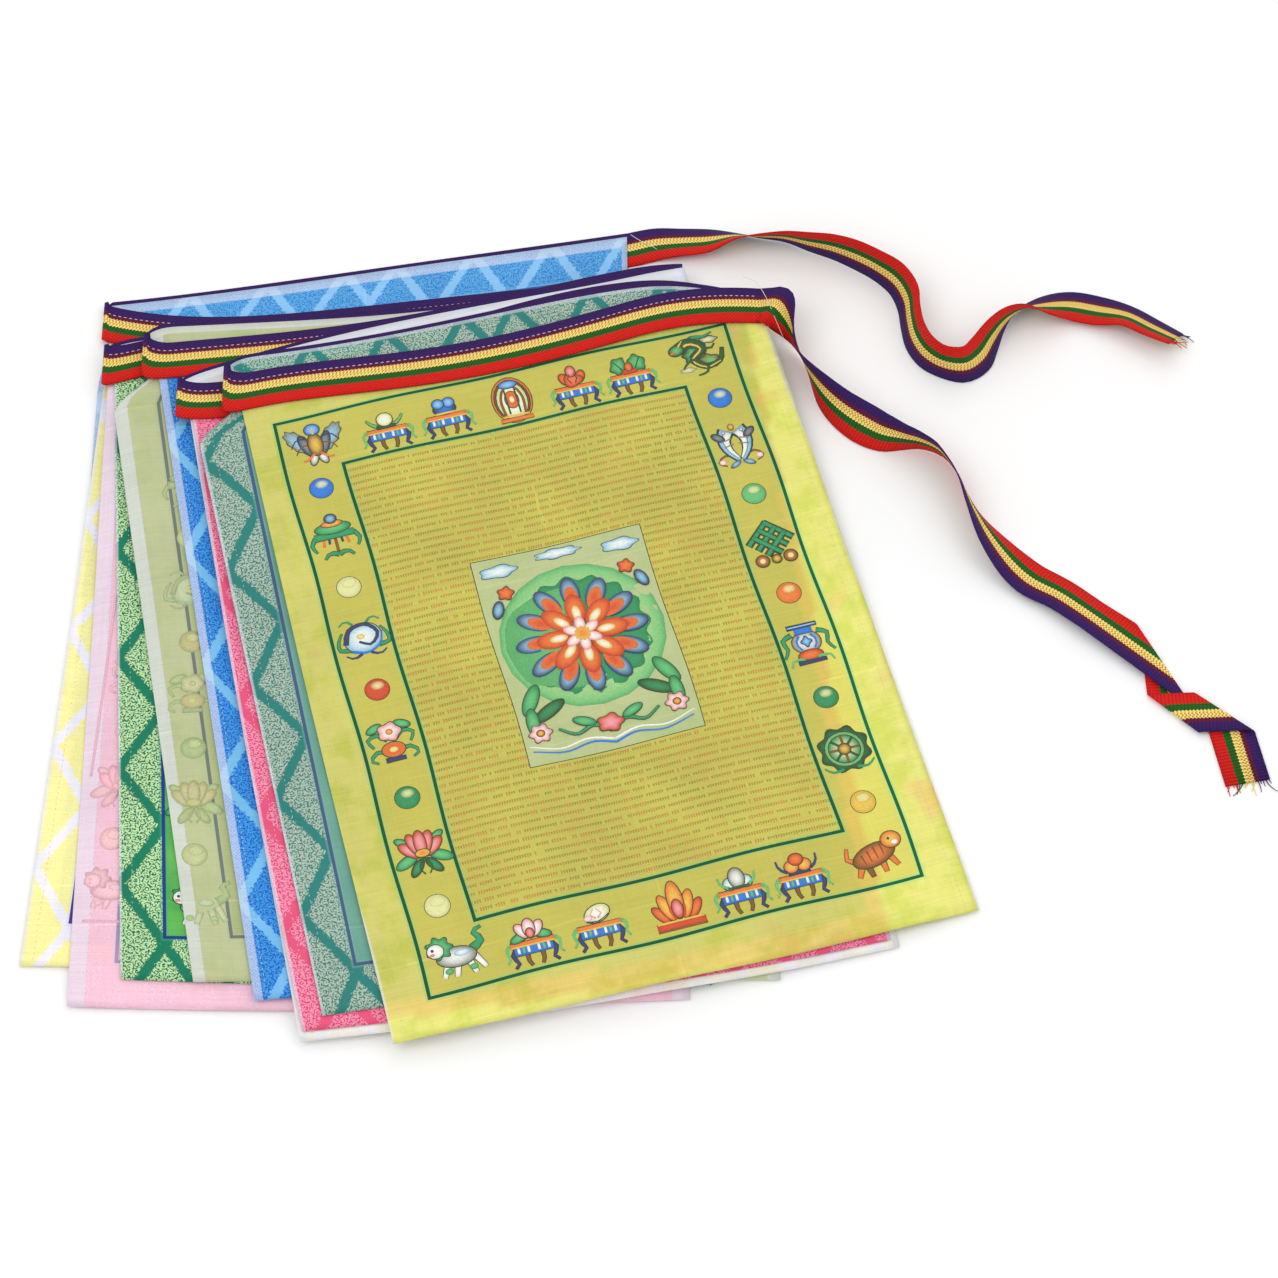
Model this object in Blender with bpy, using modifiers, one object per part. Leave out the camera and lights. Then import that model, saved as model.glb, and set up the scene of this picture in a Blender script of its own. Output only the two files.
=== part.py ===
"""Folded string of ten printed prayer flags on one striped tape.

The flags hang from the tape by their top edges. The string is folded back and
forth, flag upon flag, and lies on a flat surface at z = 0 with both loose ends
of the tape out to the right. The origin is on that surface, under the middle
of the front flag's print. Sizes in the tables are millimetres.
"""
from math import cos, pi, radians, sin, tan

import bmesh
import bpy
import numpy as np
from mathutils import Matrix, Vector

MM = 0.001

# Sheets
CLOTH_THICK = 1.0
TAPE_THICK = 1.0
GAP = 0.3
PITCH = CLOTH_THICK + GAP
TAPE_WIDTH = 22.0
HEM_STEP = 1.0            # the tape's top edge stands this far above the cloth's
CLOTH_INSET = 3.0         # cloth stops short of a loop of tape that goes round it
CLOTH_LAP = 2.0           # cloth reaches past a fold of tape that lies inside it
CLOTH_SHORT = 2.0         # cloth stops short of where a loose end leaves it

# Points along each edge of a flag's outline
TOP_POINTS = 9
BOTTOM_POINTS = 6
RIGHT_POINTS = 5
LEFT_POINTS = 14

# Lattice that all layers share, so that each lies flat on the one below. Each
# layer is at body height up to its ramp's start, and then rises evenly to the
# tape's zone, which is level. The front flag starts first, the back one last.
COLUMN = 24.0
COLUMNS = (-288.0, 240.0)
BODY_ROW = 27.0
BODY_ROWS = (-250.0, -61.0)
RAMP_ROWS = 8
RAMP_STARTS = (-61.0, 20.0)
TAPE_ZONE = (118.0, 280.0)
ZONE_REACH = 20.0         # the zone is level as far right as the cloth above here
DRAPE = 60.0              # how far past a lower edge the cloth takes to sink

# The ten runs of tape: ends along X, and the top edge's Y at five even steps
RUN_COLUMNS = ("left", "right", "y0", "y1", "y2", "y3", "y4")
RUNS = (
    (-182, 89, 149, 162, 175, 197, 213),
    (-182, 76, 165, 177, 193, 209, 213),
    (-206, 76, 149, 162, 189, 211, 213),
    (-206, 48, 157, 180, 198, 213, 230),
    (-226, 48, 177, 185, 197, 215, 231),
    (-226, 42, 193, 197, 203, 213, 226),
    (-247, 42, 178, 193, 200, 211, 226),
    (-247, 22, 185, 197, 204, 212, 227),
    (-250, 22, 210, 203, 210, 219, 228),
    (-250, 22, 215, 225, 237, 249, 261),
)

# The ten flags, front to back: which way the printed face lies, lower corners,
# outward bow of each edge, and how far the left edge leans out below the tape
FLAG_COLUMNS = ("colour", "face", "bl_x", "bl_y", "br_x", "br_y",
                "bow_left", "bow_bottom", "bow_right", "flare")
FLAGS = (
    ("yellow", "up", -86, -214, 186, -142, 1, 3, 0, 0),
    ("green", "down", -119, -200, 133, -146, 0, 5, 0, 21),
    ("red", "up", -128, -207, 144, -158, 3, 6, 0, 0),
    ("white", "down", -129, -211, 148, -161, 4, 6, 0, 2),
    ("blue", "up", -151, -191, 124, -165, 0, 0, 0, 0),
    ("yellow", "down", -180, -181, 92, -178, 0, 0, 0, 21),
    ("green", "up", -214, -179, 62, -181, 0, 3, 0, 0),
    ("red", "down", -238, -192, 50, -188, 0, 4, 0, 0),
    ("white", "up", -262, -171, 14, -174, -1, 0, 0, 0),
    ("blue", "down", -246, -160, 26, -165, 0, 0, 0, 0),
)
FLARE_DROP = 57.0         # a flare is widest this far below the top left corner
FLARE_SPAN = 27.0         # and is gone this much nearer to that corner

# Loose ends of tape: the centre line, and the lean of the width, 0 degrees with
# the purple edge on the left of the way it runs and 90 with that edge on top
TAIL_COLUMNS = ("x", "y", "lift", "lean")
FRONT_TAIL = (
    (98, 203, 14, 15),
    (104, 199, 7, 50),
    (108, 190, 3, 78),
    (109, 179, 1, 84),
    (113, 166, 0, 76),
    (120, 151, 0, 66),
    (130, 140, 0, 55),
    (141, 132, 0, 48),
    (151, 125, 0, 65),
    (160, 122, 0, 88),
    (169, 120, 0, 103),
    (178, 115, 0, 110),
    (184, 106, 0, 111),
    (189, 93, 0, 108),
    (194, 79, 0, 118),
    (204, 61, 0, 145),
    (220, 43, 0, 170),
    (235, 33, 0, 168),
    (249, 21, 0.5, 166),
)
BACK_TAIL = (
    (36, 253, 0, -4),
    (48, 253, 0, -12),
    (63, 253, 0, -20),
    (77, 253, 0, -44),
    (90, 252, 0, -57),
    (102, 251, 0, -65),
    (115, 247, 0, -77),
    (129, 243, 0, -88),
    (140, 238, 0, -95),
    (151, 231, 0, -99),
    (161, 222, 0, -108),
    (166, 211, 0, -114),
    (167, 198, 0, -112),
    (169, 186, 0, -111),
    (174, 176, 0, -107),
    (183, 169, 0, -102),
    (194, 168, 0, -112),
    (202, 175, 0, -122),
    (208, 185, 0, -112),
    (215, 195, 0, -92),
    (224, 203, 0, -64),
    (236, 208, 0, -32),
    (252, 211, 0, -11),
    (266, 208, 0, -11),
    (280, 203, 0, -24),
    (292, 195, 0, -28),
    (304, 187, 0, -34),
)
TAIL_STEP = 5.0
END_CLEAR = 2.0           # no station of a run stands this near to its end
WIDTH_SEGMENTS = 2

# The front tail's last stretch is flat and folds over itself three times
FOLD_START = (262.0, 10.0)
FOLD_HEADING = -39.5
FOLD_COLUMNS = ("red_side", "crease_angle", "depth")
FOLDS = (
    (2.0, 24.0, 1.3),
    (42.0, 45.0, 2.6),
    (66.0, 41.0, 2.6),
)
FOLD_END = 121.0
ARC_STEPS = 6

COLOURS = {
    "yellow": (0.78, 0.72, 0.10),
    "green": (0.05, 0.36, 0.20),
    "red": (0.78, 0.15, 0.20),
    "white": (0.86, 0.85, 0.62),
    "blue": (0.04, 0.28, 0.66),
    "tape": (0.45, 0.05, 0.10),
}
CLOTH_ROUGHNESS = 0.8
CUTTER_SPAN = (-20.0, 80.0)


def clear_scene():
    """Removes whatever objects the open file holds."""
    for old in list(bpy.data.objects):
        bpy.data.objects.remove(old, do_unlink=True)


def collection(name):
    """A new collection linked to the scene."""
    group = bpy.data.collections.new(name)
    bpy.context.scene.collection.children.link(group)
    return group


def material(name, colour):
    """A plain woven finish in one colour."""
    finish = bpy.data.materials.new(name)
    finish.use_nodes = True
    shader = finish.node_tree.nodes["Principled BSDF"]
    shader.inputs["Base Color"].default_value = (*colour, 1.0)
    shader.inputs["Roughness"].default_value = CLOTH_ROUGHNESS
    shader.inputs["Metallic"].default_value = 0.0
    return finish


def rows_of(columns, table):
    """The rows of a table as dictionaries, named by its columns."""
    return [dict(zip(columns, row)) for row in table]


def top_edge(run, x):
    """Y of a run's top edge at x: the smooth curve through its five heights."""
    places = np.linspace(run["left"], run["right"], 5)
    heights = [run["y0"], run["y1"], run["y2"], run["y3"], run["y4"]]
    return np.polyval(np.polyfit(places, heights, 4), x)


def bowed(start, end, bow, count):
    """Points from start towards end, bowed outwards to the right of that way."""
    start, end = np.array(start, float), np.array(end, float)
    along = end - start
    out = np.array((along[1], -along[0])) / np.linalg.norm(along)
    t = np.linspace(0.0, 1.0, count, endpoint=False)[:, None]
    return start + along * t + out * bow * np.sin(pi * t)


def outline(number):
    """The flag's outline seen from above, anticlockwise from its lower left."""
    flag, run = flags[number], runs[number]
    left = run["left"] + CLOTH_INSET
    loose_end = number in (0, len(runs) - 1)
    right = run["right"] + (-CLOTH_SHORT if loose_end else CLOTH_LAP)
    top_x = np.linspace(right, left, TOP_POINTS)
    top = np.column_stack((top_x, top_edge(run, top_x) - HEM_STEP))
    lower_left = (flag["bl_x"], flag["bl_y"])
    lower_right = (flag["br_x"], flag["br_y"])
    bottom_side = bowed(lower_left, lower_right, flag["bow_bottom"], BOTTOM_POINTS)
    right_side = bowed(lower_right, top[0], flag["bow_right"], RIGHT_POINTS)
    left_side = bowed(top[-1], lower_left, flag["bow_left"], LEFT_POINTS)
    peak = top[-1, 1] - FLARE_DROP
    growth = np.clip((left_side[:, 1] - flag["bl_y"]) / (peak - flag["bl_y"]), 0.0, 1.0)
    near = np.clip((peak + FLARE_SPAN - left_side[:, 1]) / FLARE_SPAN, 0.0, 1.0)
    left_side[:, 0] -= flag["flare"] * growth * near * near * (3.0 - 2.0 * near)
    return np.vstack((bottom_side, right_side, top[:-1], left_side))


def distance_outside(points, polygon):
    """How far each point lies outside the polygon, 0 for one inside it."""
    start = polygon
    along = np.roll(polygon, -1, axis=0) - start
    offset = points[:, None, :] - start[None, :, :]
    t = np.clip((offset * along).sum(2) / (along ** 2).sum(1), 0.0, 1.0)
    nearest = np.linalg.norm(offset - t[..., None] * along, axis=2).min(axis=1)
    end_y = start[:, 1] + along[:, 1]
    crosses = (start[:, 1] > points[:, 1:2]) != (end_y > points[:, 1:2])
    rise = np.where(along[:, 1] == 0.0, 1.0, along[:, 1])
    cross_x = start[:, 0] + along[:, 0] * (points[:, 1:2] - start[:, 1]) / rise
    inside = (crosses & (points[:, 0:1] < cross_x)).sum(axis=1) % 2 == 1
    return np.where(inside, 0.0, nearest)


def sink(distance):
    """1 at a lower edge, falling smoothly to 0 a drape's length past it."""
    t = np.clip(1.0 - distance / DRAPE, 0.0, 1.0)
    return t * t * (3.0 - 2.0 * t)


def body_cover(polygon):
    """How fully a flag lifts what lies on it, at each lattice point."""
    points = np.column_stack((grid_x.ravel(), grid_y.ravel()))
    cover = sink(distance_outside(points, polygon)).reshape(grid_x.shape)
    middle_x = (grid_x[1:, 1:] + grid_x[:-1, :-1]) / 2
    middle_y = (grid_y[1:, 1:] + grid_y[:-1, :-1]) / 2
    reach = np.hypot(grid_x[1:, 1:] - grid_x[:-1, :-1], grid_y[1:, 1:] - grid_y[:-1, :-1]) / 2
    centres = np.column_stack((middle_x.ravel(), middle_y.ravel()))
    touched = distance_outside(centres, polygon).reshape(reach.shape) < reach
    for down in (slice(0, -1), slice(1, None)):
        for across in (slice(0, -1), slice(1, None)):
            corner = cover[down, across]
            corner[touched] = 1.0
    return cover


def zone_cover(polygon):
    """The same in the tape's zone, where the layers level off across the tape."""
    right = polygon[polygon[:, 1] > ZONE_REACH, 0].max()
    full = COLUMNS[0] + COLUMN * np.ceil((right - COLUMNS[0]) / COLUMN)
    return sink(lattice_x - full)


def stack_order():
    """Sheets from the surface up: each tape run lies on its flag's printed side."""
    order = []
    for number in reversed(range(len(flags))):
        pair = [("flag", number), ("tape", number)]
        if flags[number]["face"] == "down":
            pair.reverse()
        order += pair
    return order


def stack_heights():
    """The lattice heights of each sheet's underside, keyed by kind and number."""
    body = np.zeros_like(grid_x)
    zone = np.zeros_like(lattice_x)
    heights = {}
    for kind, number in stack_order():
        polygon = outline(number)
        if kind == "flag":
            start = np.interp(number, (0, len(flags) - 1), RAMP_STARTS)
            blend = np.clip((grid_y - start) / (TAPE_ZONE[0] - start), 0.0, 1.0)
            heights[kind, number] = body * (1.0 - blend) + zone[None, :] * blend
            body = body + PITCH * body_cover(polygon)
        else:
            heights[kind, number] = zone
        zone = zone + PITCH * zone_cover(polygon)
    return heights


def finished(mesh_object, group, finish):
    """Gives a new object its finish and its place in a collection."""
    mesh_object.data.materials.append(finish)
    group.objects.link(mesh_object)
    return mesh_object


def layer_slab(name, height):
    """A sheet over the whole lattice, at the layer's heights."""
    bm = bmesh.new()
    rows, columns = grid_x.shape
    bmesh.ops.create_grid(bm, x_segments=columns - 1, y_segments=rows - 1, size=1.0)
    ordered = sorted(bm.verts, key=lambda v: (round(v.co.y, 4), round(v.co.x, 4)))
    for vert, x, y, z in zip(ordered, grid_x.ravel(), grid_y.ravel(), height.ravel()):
        vert.co = Vector((x, y, z)) * MM
    bmesh.ops.triangulate(bm, faces=bm.faces[:], quad_method="FIXED")
    under = bm.faces[:]
    lifted = bmesh.ops.extrude_face_region(bm, geom=under, use_keep_orig=True)
    top = [part for part in lifted["geom"] if isinstance(part, bmesh.types.BMVert)]
    bmesh.ops.translate(bm, verts=top, vec=(0.0, 0.0, CLOTH_THICK * MM))
    bmesh.ops.recalc_face_normals(bm, faces=bm.faces[:])
    mesh = bpy.data.meshes.new(name)
    bm.to_mesh(mesh)
    bm.free()
    return bpy.data.objects.new(name, mesh)


def outline_cutter(name, polygon):
    """An upright prism on the flag's outline."""
    bm = bmesh.new()
    ring = [bm.verts.new((x * MM, y * MM, CUTTER_SPAN[0] * MM)) for x, y in polygon]
    base = bm.faces.new(ring)
    lifted = bmesh.ops.extrude_face_region(bm, geom=[base], use_keep_orig=True)
    top = [part for part in lifted["geom"] if isinstance(part, bmesh.types.BMVert)]
    height = (CUTTER_SPAN[1] - CUTTER_SPAN[0]) * MM
    bmesh.ops.translate(bm, verts=top, vec=(0.0, 0.0, height))
    bmesh.ops.recalc_face_normals(bm, faces=bm.faces[:])
    mesh = bpy.data.meshes.new(name)
    bm.to_mesh(mesh)
    bm.free()
    cutter = bpy.data.objects.new(name, mesh)
    cutter.hide_render = True
    cutter.display_type = "WIRE"
    return cutter


def add_flag(number):
    """One flag: its layer of the stack, cut to its outline."""
    flag = flags[number]
    name = "flag_%02d_%s" % (number + 1, flag["colour"])
    sheet = layer_slab(name, heights["flag", number])
    finished(sheet, parts, finishes[flag["colour"]])
    cutter = outline_cutter("cut_" + name, outline(number))
    cutters.objects.link(cutter)
    trim = sheet.modifiers.new("outline", "BOOLEAN")
    trim.operation = "INTERSECT"
    trim.object = cutter


def run_stations(number):
    """A run's two edges, at the lattice columns and at its ends, left to right."""
    run = runs[number]
    clear_left, clear_right = run["left"] + END_CLEAR, run["right"] - END_CLEAR
    inner = lattice_x[(lattice_x > clear_left) & (lattice_x < clear_right)]
    x = np.concatenate(([run["left"]], inner, [run["right"]]))
    y = top_edge(run, x)
    slope = np.gradient(y, x)
    z = np.interp(x, lattice_x, heights["tape", number]) + TAPE_THICK / 2
    purple = np.column_stack((x, y, z))
    red = purple - np.column_stack((0 * x, TAPE_WIDTH * np.hypot(1.0, slope), 0 * x))
    return purple, red


def turn_stations(upper, lower, side):
    """The tape's half turn between two runs, out to the given side."""
    angle = np.linspace(0.0, pi, ARC_STEPS + 1)[1:-1, None]
    share = (1.0 - np.cos(angle)) / 2
    edges = []
    for a, b in zip(upper, lower):
        path = a + (b - a) * share
        path[:, 0:1] += side * abs(a[2] - b[2]) / 2 * np.sin(angle)
        edges.append(path)
    return edges


def smooth_path(table):
    """A table's rows joined by a smooth curve, at even steps along it."""
    rows = np.array(table, float)
    knots = np.concatenate(([0.0], np.cumsum(np.linalg.norm(np.diff(rows[:, :2], axis=0), axis=1))))
    count = max(2, int(round(knots[-1] / TAIL_STEP)))
    s = np.linspace(0.0, knots[-1], count + 1)
    slope = np.gradient(rows, knots, axis=0)
    i = np.clip(np.searchsorted(knots, s, side="right") - 1, 0, len(knots) - 2)
    span = (knots[i + 1] - knots[i])[:, None]
    t = (s - knots[i])[:, None] / span
    start = (2 * t ** 3 - 3 * t ** 2 + 1) * rows[i] + (t ** 3 - 2 * t ** 2 + t) * span * slope[i]
    end = (3 * t ** 2 - 2 * t ** 3) * rows[i + 1] + (t ** 3 - t ** 2) * span * slope[i + 1]
    return start + end


def tail_stations(table, start):
    """A loose end's two edges, leaning as its table says, from the run's end."""
    path = smooth_path([start] + list(table))
    place = path[:, [TAIL_COLUMNS.index("x"), TAIL_COLUMNS.index("y")]]
    lift = path[:, TAIL_COLUMNS.index("lift")]
    lean = np.radians(path[:, TAIL_COLUMNS.index("lean")])[:, None]
    heading = np.gradient(place, axis=0)
    heading /= np.linalg.norm(heading, axis=1)[:, None]
    across = np.column_stack((-heading[:, 1], heading[:, 0]))
    width = TAPE_WIDTH / 2 * np.column_stack((across * np.cos(lean), np.sin(lean)))
    centre = np.column_stack((place, lift + TAPE_THICK / 2 + np.abs(width[:, 2])))
    return centre + width, centre - width


def fold_stations():
    """The flat stretch that folds over itself, rolled about each crease in turn."""
    half = TAPE_WIDTH / 2
    heading = radians(FOLD_HEADING)
    place = Matrix.Translation((*FOLD_START, TAPE_THICK / 2 + PITCH))
    place @= Matrix.Rotation(heading, 4, "Z")
    purple, red = [], []
    for fold in rows_of(FOLD_COLUMNS, FOLDS):
        angle = radians(fold["crease_angle"])
        out = Vector((sin(angle), cos(angle), 0.0))
        foot = Vector((fold["red_side"], half, 0.0))
        radius = fold["depth"] / 2
        axis = foot - Vector((0.0, 0.0, radius))
        way = Vector((-out.y, out.x, 0.0))
        spread = TAPE_WIDTH / tan(angle)
        turn = Matrix.Identity(4)
        for step in range(ARC_STEPS + 1):
            bend = pi * step / ARC_STEPS
            turn = Matrix.Translation(axis) @ Matrix.Rotation(bend, 4, way)
            turn @= Matrix.Translation(-axis - out * radius * bend)
            shift = out * radius * bend
            ahead = shift.x + shift.y / tan(angle)
            left = Vector((foot.x + ahead, half, 0.0))
            right = Vector((foot.x + ahead + spread, -half, 0.0))
            red.append(place @ turn @ left)
            purple.append(place @ turn @ right)
        place = place @ turn
    red.append(place @ Vector((FOLD_END, half, 0.0)))
    purple.append(place @ Vector((FOLD_END, -half, 0.0)))
    return np.array([v[:] for v in purple]), np.array([v[:] for v in red])


def tape_edges():
    """Both edges of the whole tape, from the front loose end to the back one."""
    first_purple, first_red = run_stations(0)
    centre = (first_purple[-1] + first_red[-1]) / 2
    lift = centre[2] - TAPE_THICK / 2
    tail = tail_stations(FRONT_TAIL, (centre[0], centre[1], lift, 0.0))
    folds = fold_stations()
    pieces = [[edge[::-1] for edge in folds], [edge[:0:-1] for edge in tail]]
    for number in range(len(runs)):
        stations = run_stations(number)
        leftward = number % 2 == 0
        if leftward:
            stations = [edge[::-1] for edge in stations]
        pieces.append(stations)
        if number + 1 < len(runs):
            end = 0 if leftward else -1
            below = [edge[end] for edge in run_stations(number + 1)]
            above = [edge[-1] for edge in stations]
            pieces.append(turn_stations(above, below, -1.0 if leftward else 1.0))
    last_purple, last_red = run_stations(len(runs) - 1)
    centre = (last_purple[-1] + last_red[-1]) / 2
    tail = tail_stations(BACK_TAIL, (centre[0], centre[1], 0.0, 0.0))
    pieces.append([edge[1:] for edge in tail])
    purple = np.vstack([piece[0] for piece in pieces])
    red = np.vstack([piece[1] for piece in pieces])
    return purple, red


def add_tape():
    """The tape: one ribbon between its two edges, given its thickness."""
    purple, red = tape_edges()
    bm = bmesh.new()
    segments = len(purple) - 1
    bmesh.ops.create_grid(bm, x_segments=segments, y_segments=WIDTH_SEGMENTS, size=1.0)
    ordered = sorted(bm.verts, key=lambda v: (round(v.co.x, 5), round(v.co.y, 4)))
    across = np.linspace(0.0, 1.0, WIDTH_SEGMENTS + 1)[None, :, None]
    places = (red[:, None] * (1.0 - across) + purple[:, None] * across).reshape(-1, 3)
    for vert, place in zip(ordered, places):
        vert.co = Vector(place) * MM
    mesh = bpy.data.meshes.new("tape")
    bm.to_mesh(mesh)
    bm.free()
    ribbon = finished(bpy.data.objects.new("tape", mesh), parts, finishes["tape"])
    shell = ribbon.modifiers.new("thickness", "SOLIDIFY")
    shell.thickness = TAPE_THICK * MM
    shell.offset = 0.0


clear_scene()
runs = rows_of(RUN_COLUMNS, RUNS)
flags = rows_of(FLAG_COLUMNS, FLAGS)
lattice_x = np.arange(COLUMNS[0], COLUMNS[1] + COLUMN / 2, COLUMN)
lattice_y = np.concatenate((
    np.arange(BODY_ROWS[0], BODY_ROWS[1], BODY_ROW),
    np.linspace(BODY_ROWS[1], TAPE_ZONE[0], RAMP_ROWS),
    TAPE_ZONE[1:],
))
grid_x, grid_y = np.meshgrid(lattice_x, lattice_y)
heights = stack_heights()
parts = collection("folded_prayer_flags")
cutters = collection("cutters")
finishes = {name: material(name, colour) for name, colour in COLOURS.items()}
for index in range(len(flags)):
    add_flag(index)
add_tape()
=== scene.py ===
"""Looks of a folded string of ten printed prayer flags on one striped tape.

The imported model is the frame. Each flag and the tape are replaced by a thinner,
finer sheet in the same place, and print, stitches and loose threads are added.
Tables and shapes are in millimetres, in the model's own axes.
"""
from math import cos, pi, radians, sin, tan

import bpy
import numpy as np
from bpy.props import FloatProperty, FloatVectorProperty, PointerProperty
from mathutils import Matrix, Vector


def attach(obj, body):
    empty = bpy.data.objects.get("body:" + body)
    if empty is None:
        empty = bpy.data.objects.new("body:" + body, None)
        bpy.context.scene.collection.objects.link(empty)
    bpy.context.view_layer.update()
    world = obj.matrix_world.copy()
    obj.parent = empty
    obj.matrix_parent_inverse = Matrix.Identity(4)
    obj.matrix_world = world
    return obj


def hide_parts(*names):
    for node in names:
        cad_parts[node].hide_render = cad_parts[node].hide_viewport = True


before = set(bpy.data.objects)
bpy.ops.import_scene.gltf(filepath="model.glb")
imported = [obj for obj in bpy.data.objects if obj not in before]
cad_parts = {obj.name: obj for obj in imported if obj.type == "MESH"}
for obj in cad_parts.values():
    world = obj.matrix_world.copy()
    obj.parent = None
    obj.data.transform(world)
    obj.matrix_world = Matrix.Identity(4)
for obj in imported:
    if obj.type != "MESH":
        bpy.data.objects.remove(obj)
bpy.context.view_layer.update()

bl_info = {
    "name": "Folded prayer flags",
    "version": (1, 0, 0),
    "blender": (4, 5, 0),
    "location": "3D View > Sidebar > Flags",
    "description": "Dresses a folded string of printed flags in cloth, tape, print and stitches",
    "category": "Add Mesh",
}

MM = 0.001

# The stack, as the CAD source has it
PITCH = 1.3
CAD_THICK = 1.0
HEM_STEP = 1.0
CLOTH_INSET = 3.0
CLOTH_LAP = 2.0
CLOTH_SHORT = 2.0
RAMP_STARTS = (-61.0, 20.0)
ZONE_START = 118.0
ZONE_REACH = 20.0
DRAPE = 60.0
LATTICE = 6.0
LATTICE_X = (-300.0, 252.0)
LATTICE_Y = (-258.0, 288.0)

RUN_COLUMNS = ("left", "right", "y0", "y1", "y2", "y3", "y4")
RUNS = (
    (-182, 89, 149, 162, 175, 197, 213),
    (-182, 76, 165, 177, 193, 209, 213),
    (-206, 76, 149, 162, 189, 211, 213),
    (-206, 48, 157, 180, 198, 213, 230),
    (-226, 48, 177, 185, 197, 215, 231),
    (-226, 42, 193, 197, 203, 213, 226),
    (-247, 42, 178, 193, 200, 211, 226),
    (-247, 22, 185, 197, 204, 212, 227),
    (-250, 22, 210, 203, 210, 219, 228),
    (-250, 22, 215, 225, 237, 249, 261),
)

# Which way the printed face lies, lower corners, outward bow of each edge, how far
# the left edge leans out, how much the sheets below show through, and the widths of
# the white hem and of the bare strip along the top
FLAG_COLUMNS = ("colour", "face", "bl_x", "bl_y", "br_x", "br_y",
                "bow_left", "bow_bottom", "bow_right", "flare", "sheer", "hem", "margin")
FLAGS = (
    ("yellow", "up", -86, -214, 186, -142, 1, 3, 0, 0, 0.42, 1.2, 0),
    ("green", "down", -119, -200, 133, -146, 0, 5, 0, 21, 0.20, 1.2, 2),
    ("red", "up", -128, -207, 144, -158, 3, 6, 0, 0, 0.15, 1.5, 0),
    ("white", "down", -129, -211, 148, -161, 1, 6, 0, 0, 0.30, 3.0, 5),
    ("blue", "up", -151, -191, 124, -165, 0, 0, 0, 0, 0.08, 4.2, 0),
    ("yellow", "down", -180, -181, 92, -178, 0, 0, 0, 21, 0.34, 6.0, 4),
    ("green", "up", -214, -179, 62, -181, 0, 3, 0, 0, 0.05, 1.0, 0),
    ("red", "down", -238, -192, 50, -188, 0, 4, 0, 0, 0.40, 8.0, 6),
    ("white", "up", -262, -171, 14, -174, -1, 0, 0, 0, 0.20, 1.5, 0),
    ("blue", "down", -246, -160, 26, -165, 0, 0, 0, 3, 0.10, 3.0, 6),
)
FLARE_DROP = 57.0
FLARE_SPAN = 27.0
PEEP = 2.2
BACK_INSET = 0.8
CORNER_REACH = (2.0, 13.0)
CORNER_CLEAR = 5.0

# The middle lines of the two loose ends: x, y, lift off the floor, lean in degrees
FRONT_TAIL = (
    (96, 199, 16, 18), (101, 194, 9, 54), (105, 187, 4, 86), (108, 178, 1, 104), (111, 169, 0, 106),
    (115, 160, 0, 94), (121, 150, 0, 76), (130, 140, 0, 60), (141, 132, 0, 48),
    (151, 125, 0, 65), (160, 122, 0, 88), (169, 120, 0, 103), (178, 115, 0, 110),
    (184, 106, 0, 111), (189, 93, 0, 108), (194, 79, 0, 118), (204, 61, 0, 145),
    (220, 43, 0, 170), (235, 33, 0, 168), (249, 21, 0.5, 166),
)
BACK_TAIL = (
    (36, 253, 0, -4), (48, 253, 0, -12), (63, 253, 0, -20), (77, 253, 0, -44),
    (90, 252, 0, -57), (102, 251, 0, -65), (115, 247, 0, -77), (129, 243, 0, -88),
    (140, 238, 0, -95), (151, 231, 0, -99), (161, 222, 0, -108), (166, 211, 0, -114),
    (167, 198, 0, -112), (169, 186, 0, -111), (174, 176, 0, -107), (183, 169, 0, -102),
    (194, 168, 0, -112), (202, 175, 0, -122), (208, 185, 0, -112), (215, 195, 0, -92),
    (224, 203, 0, -64), (236, 208, 0, -32), (252, 211, 0, -11), (266, 208, 0, -11),
    (280, 203, 0, -24), (292, 195, 0, -28), (304, 187, 0, -34),
)

TAIL_STEP = 3.0
RUN_STEP = 4.0
CORNER_STEPS = 9
TAPE_WIDE = 22.0
FOLD_START = (262.0, 10.0)
FOLD_HEADING = -39.5
FOLD_COLUMNS = ("red_side", "crease_angle", "depth")
FOLDS = ((2.0, 24.0, 1.3), (42.0, 45.0, 2.6), (66.0, 41.0, 2.6))
FOLD_END = 121.0
ARC_STEPS = 8
STRIPES = (("tape_red", 0.0), ("tape_green", 6.5), ("tape_yellow", 10.3),
           ("tape_maroon", 14.7), ("tape_purple", 17.1))

# Loose yarns at the tape's ends and two loose sewing threads
FRAY_SEED = 7
FRAY_COUNT = 16
FRAY_LENGTH = (2.5, 9.0)
FRAY_THICK = 0.28
THREAD_THICK = 0.2
THREADS = (
    ((22, 259, 1.8), (28, 254, 2.2), (35, 250, 1.8), (41, 245, 1.2)),
    ((80, 213, 25.4), (86, 210, 25.8), (92, 202, 22.0), (97, 192, 16.0), (101, 184, 11.0)),
)

# Sheets of the shown cloth, and how far its layers swell
FRONT_STEP = 3.5
CLOTH_STEP = 5.0
SWELL = 0.45
RIPPLE = 0.18
FREE_SWELL = 0.38
WARP = 0.6
VEIL = 0.65

# Seams: distance from the cloth's edge, or share of the tape's width from its purple
# edge, then the step, length and thickness of a stitch
HEM_SEAM = 6.0
HEM_STITCH = (3.0, 1.1, 0.17)
TAPE_SEAM = 0.235
TAPE_STITCH = (2.9, 0.24)

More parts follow.
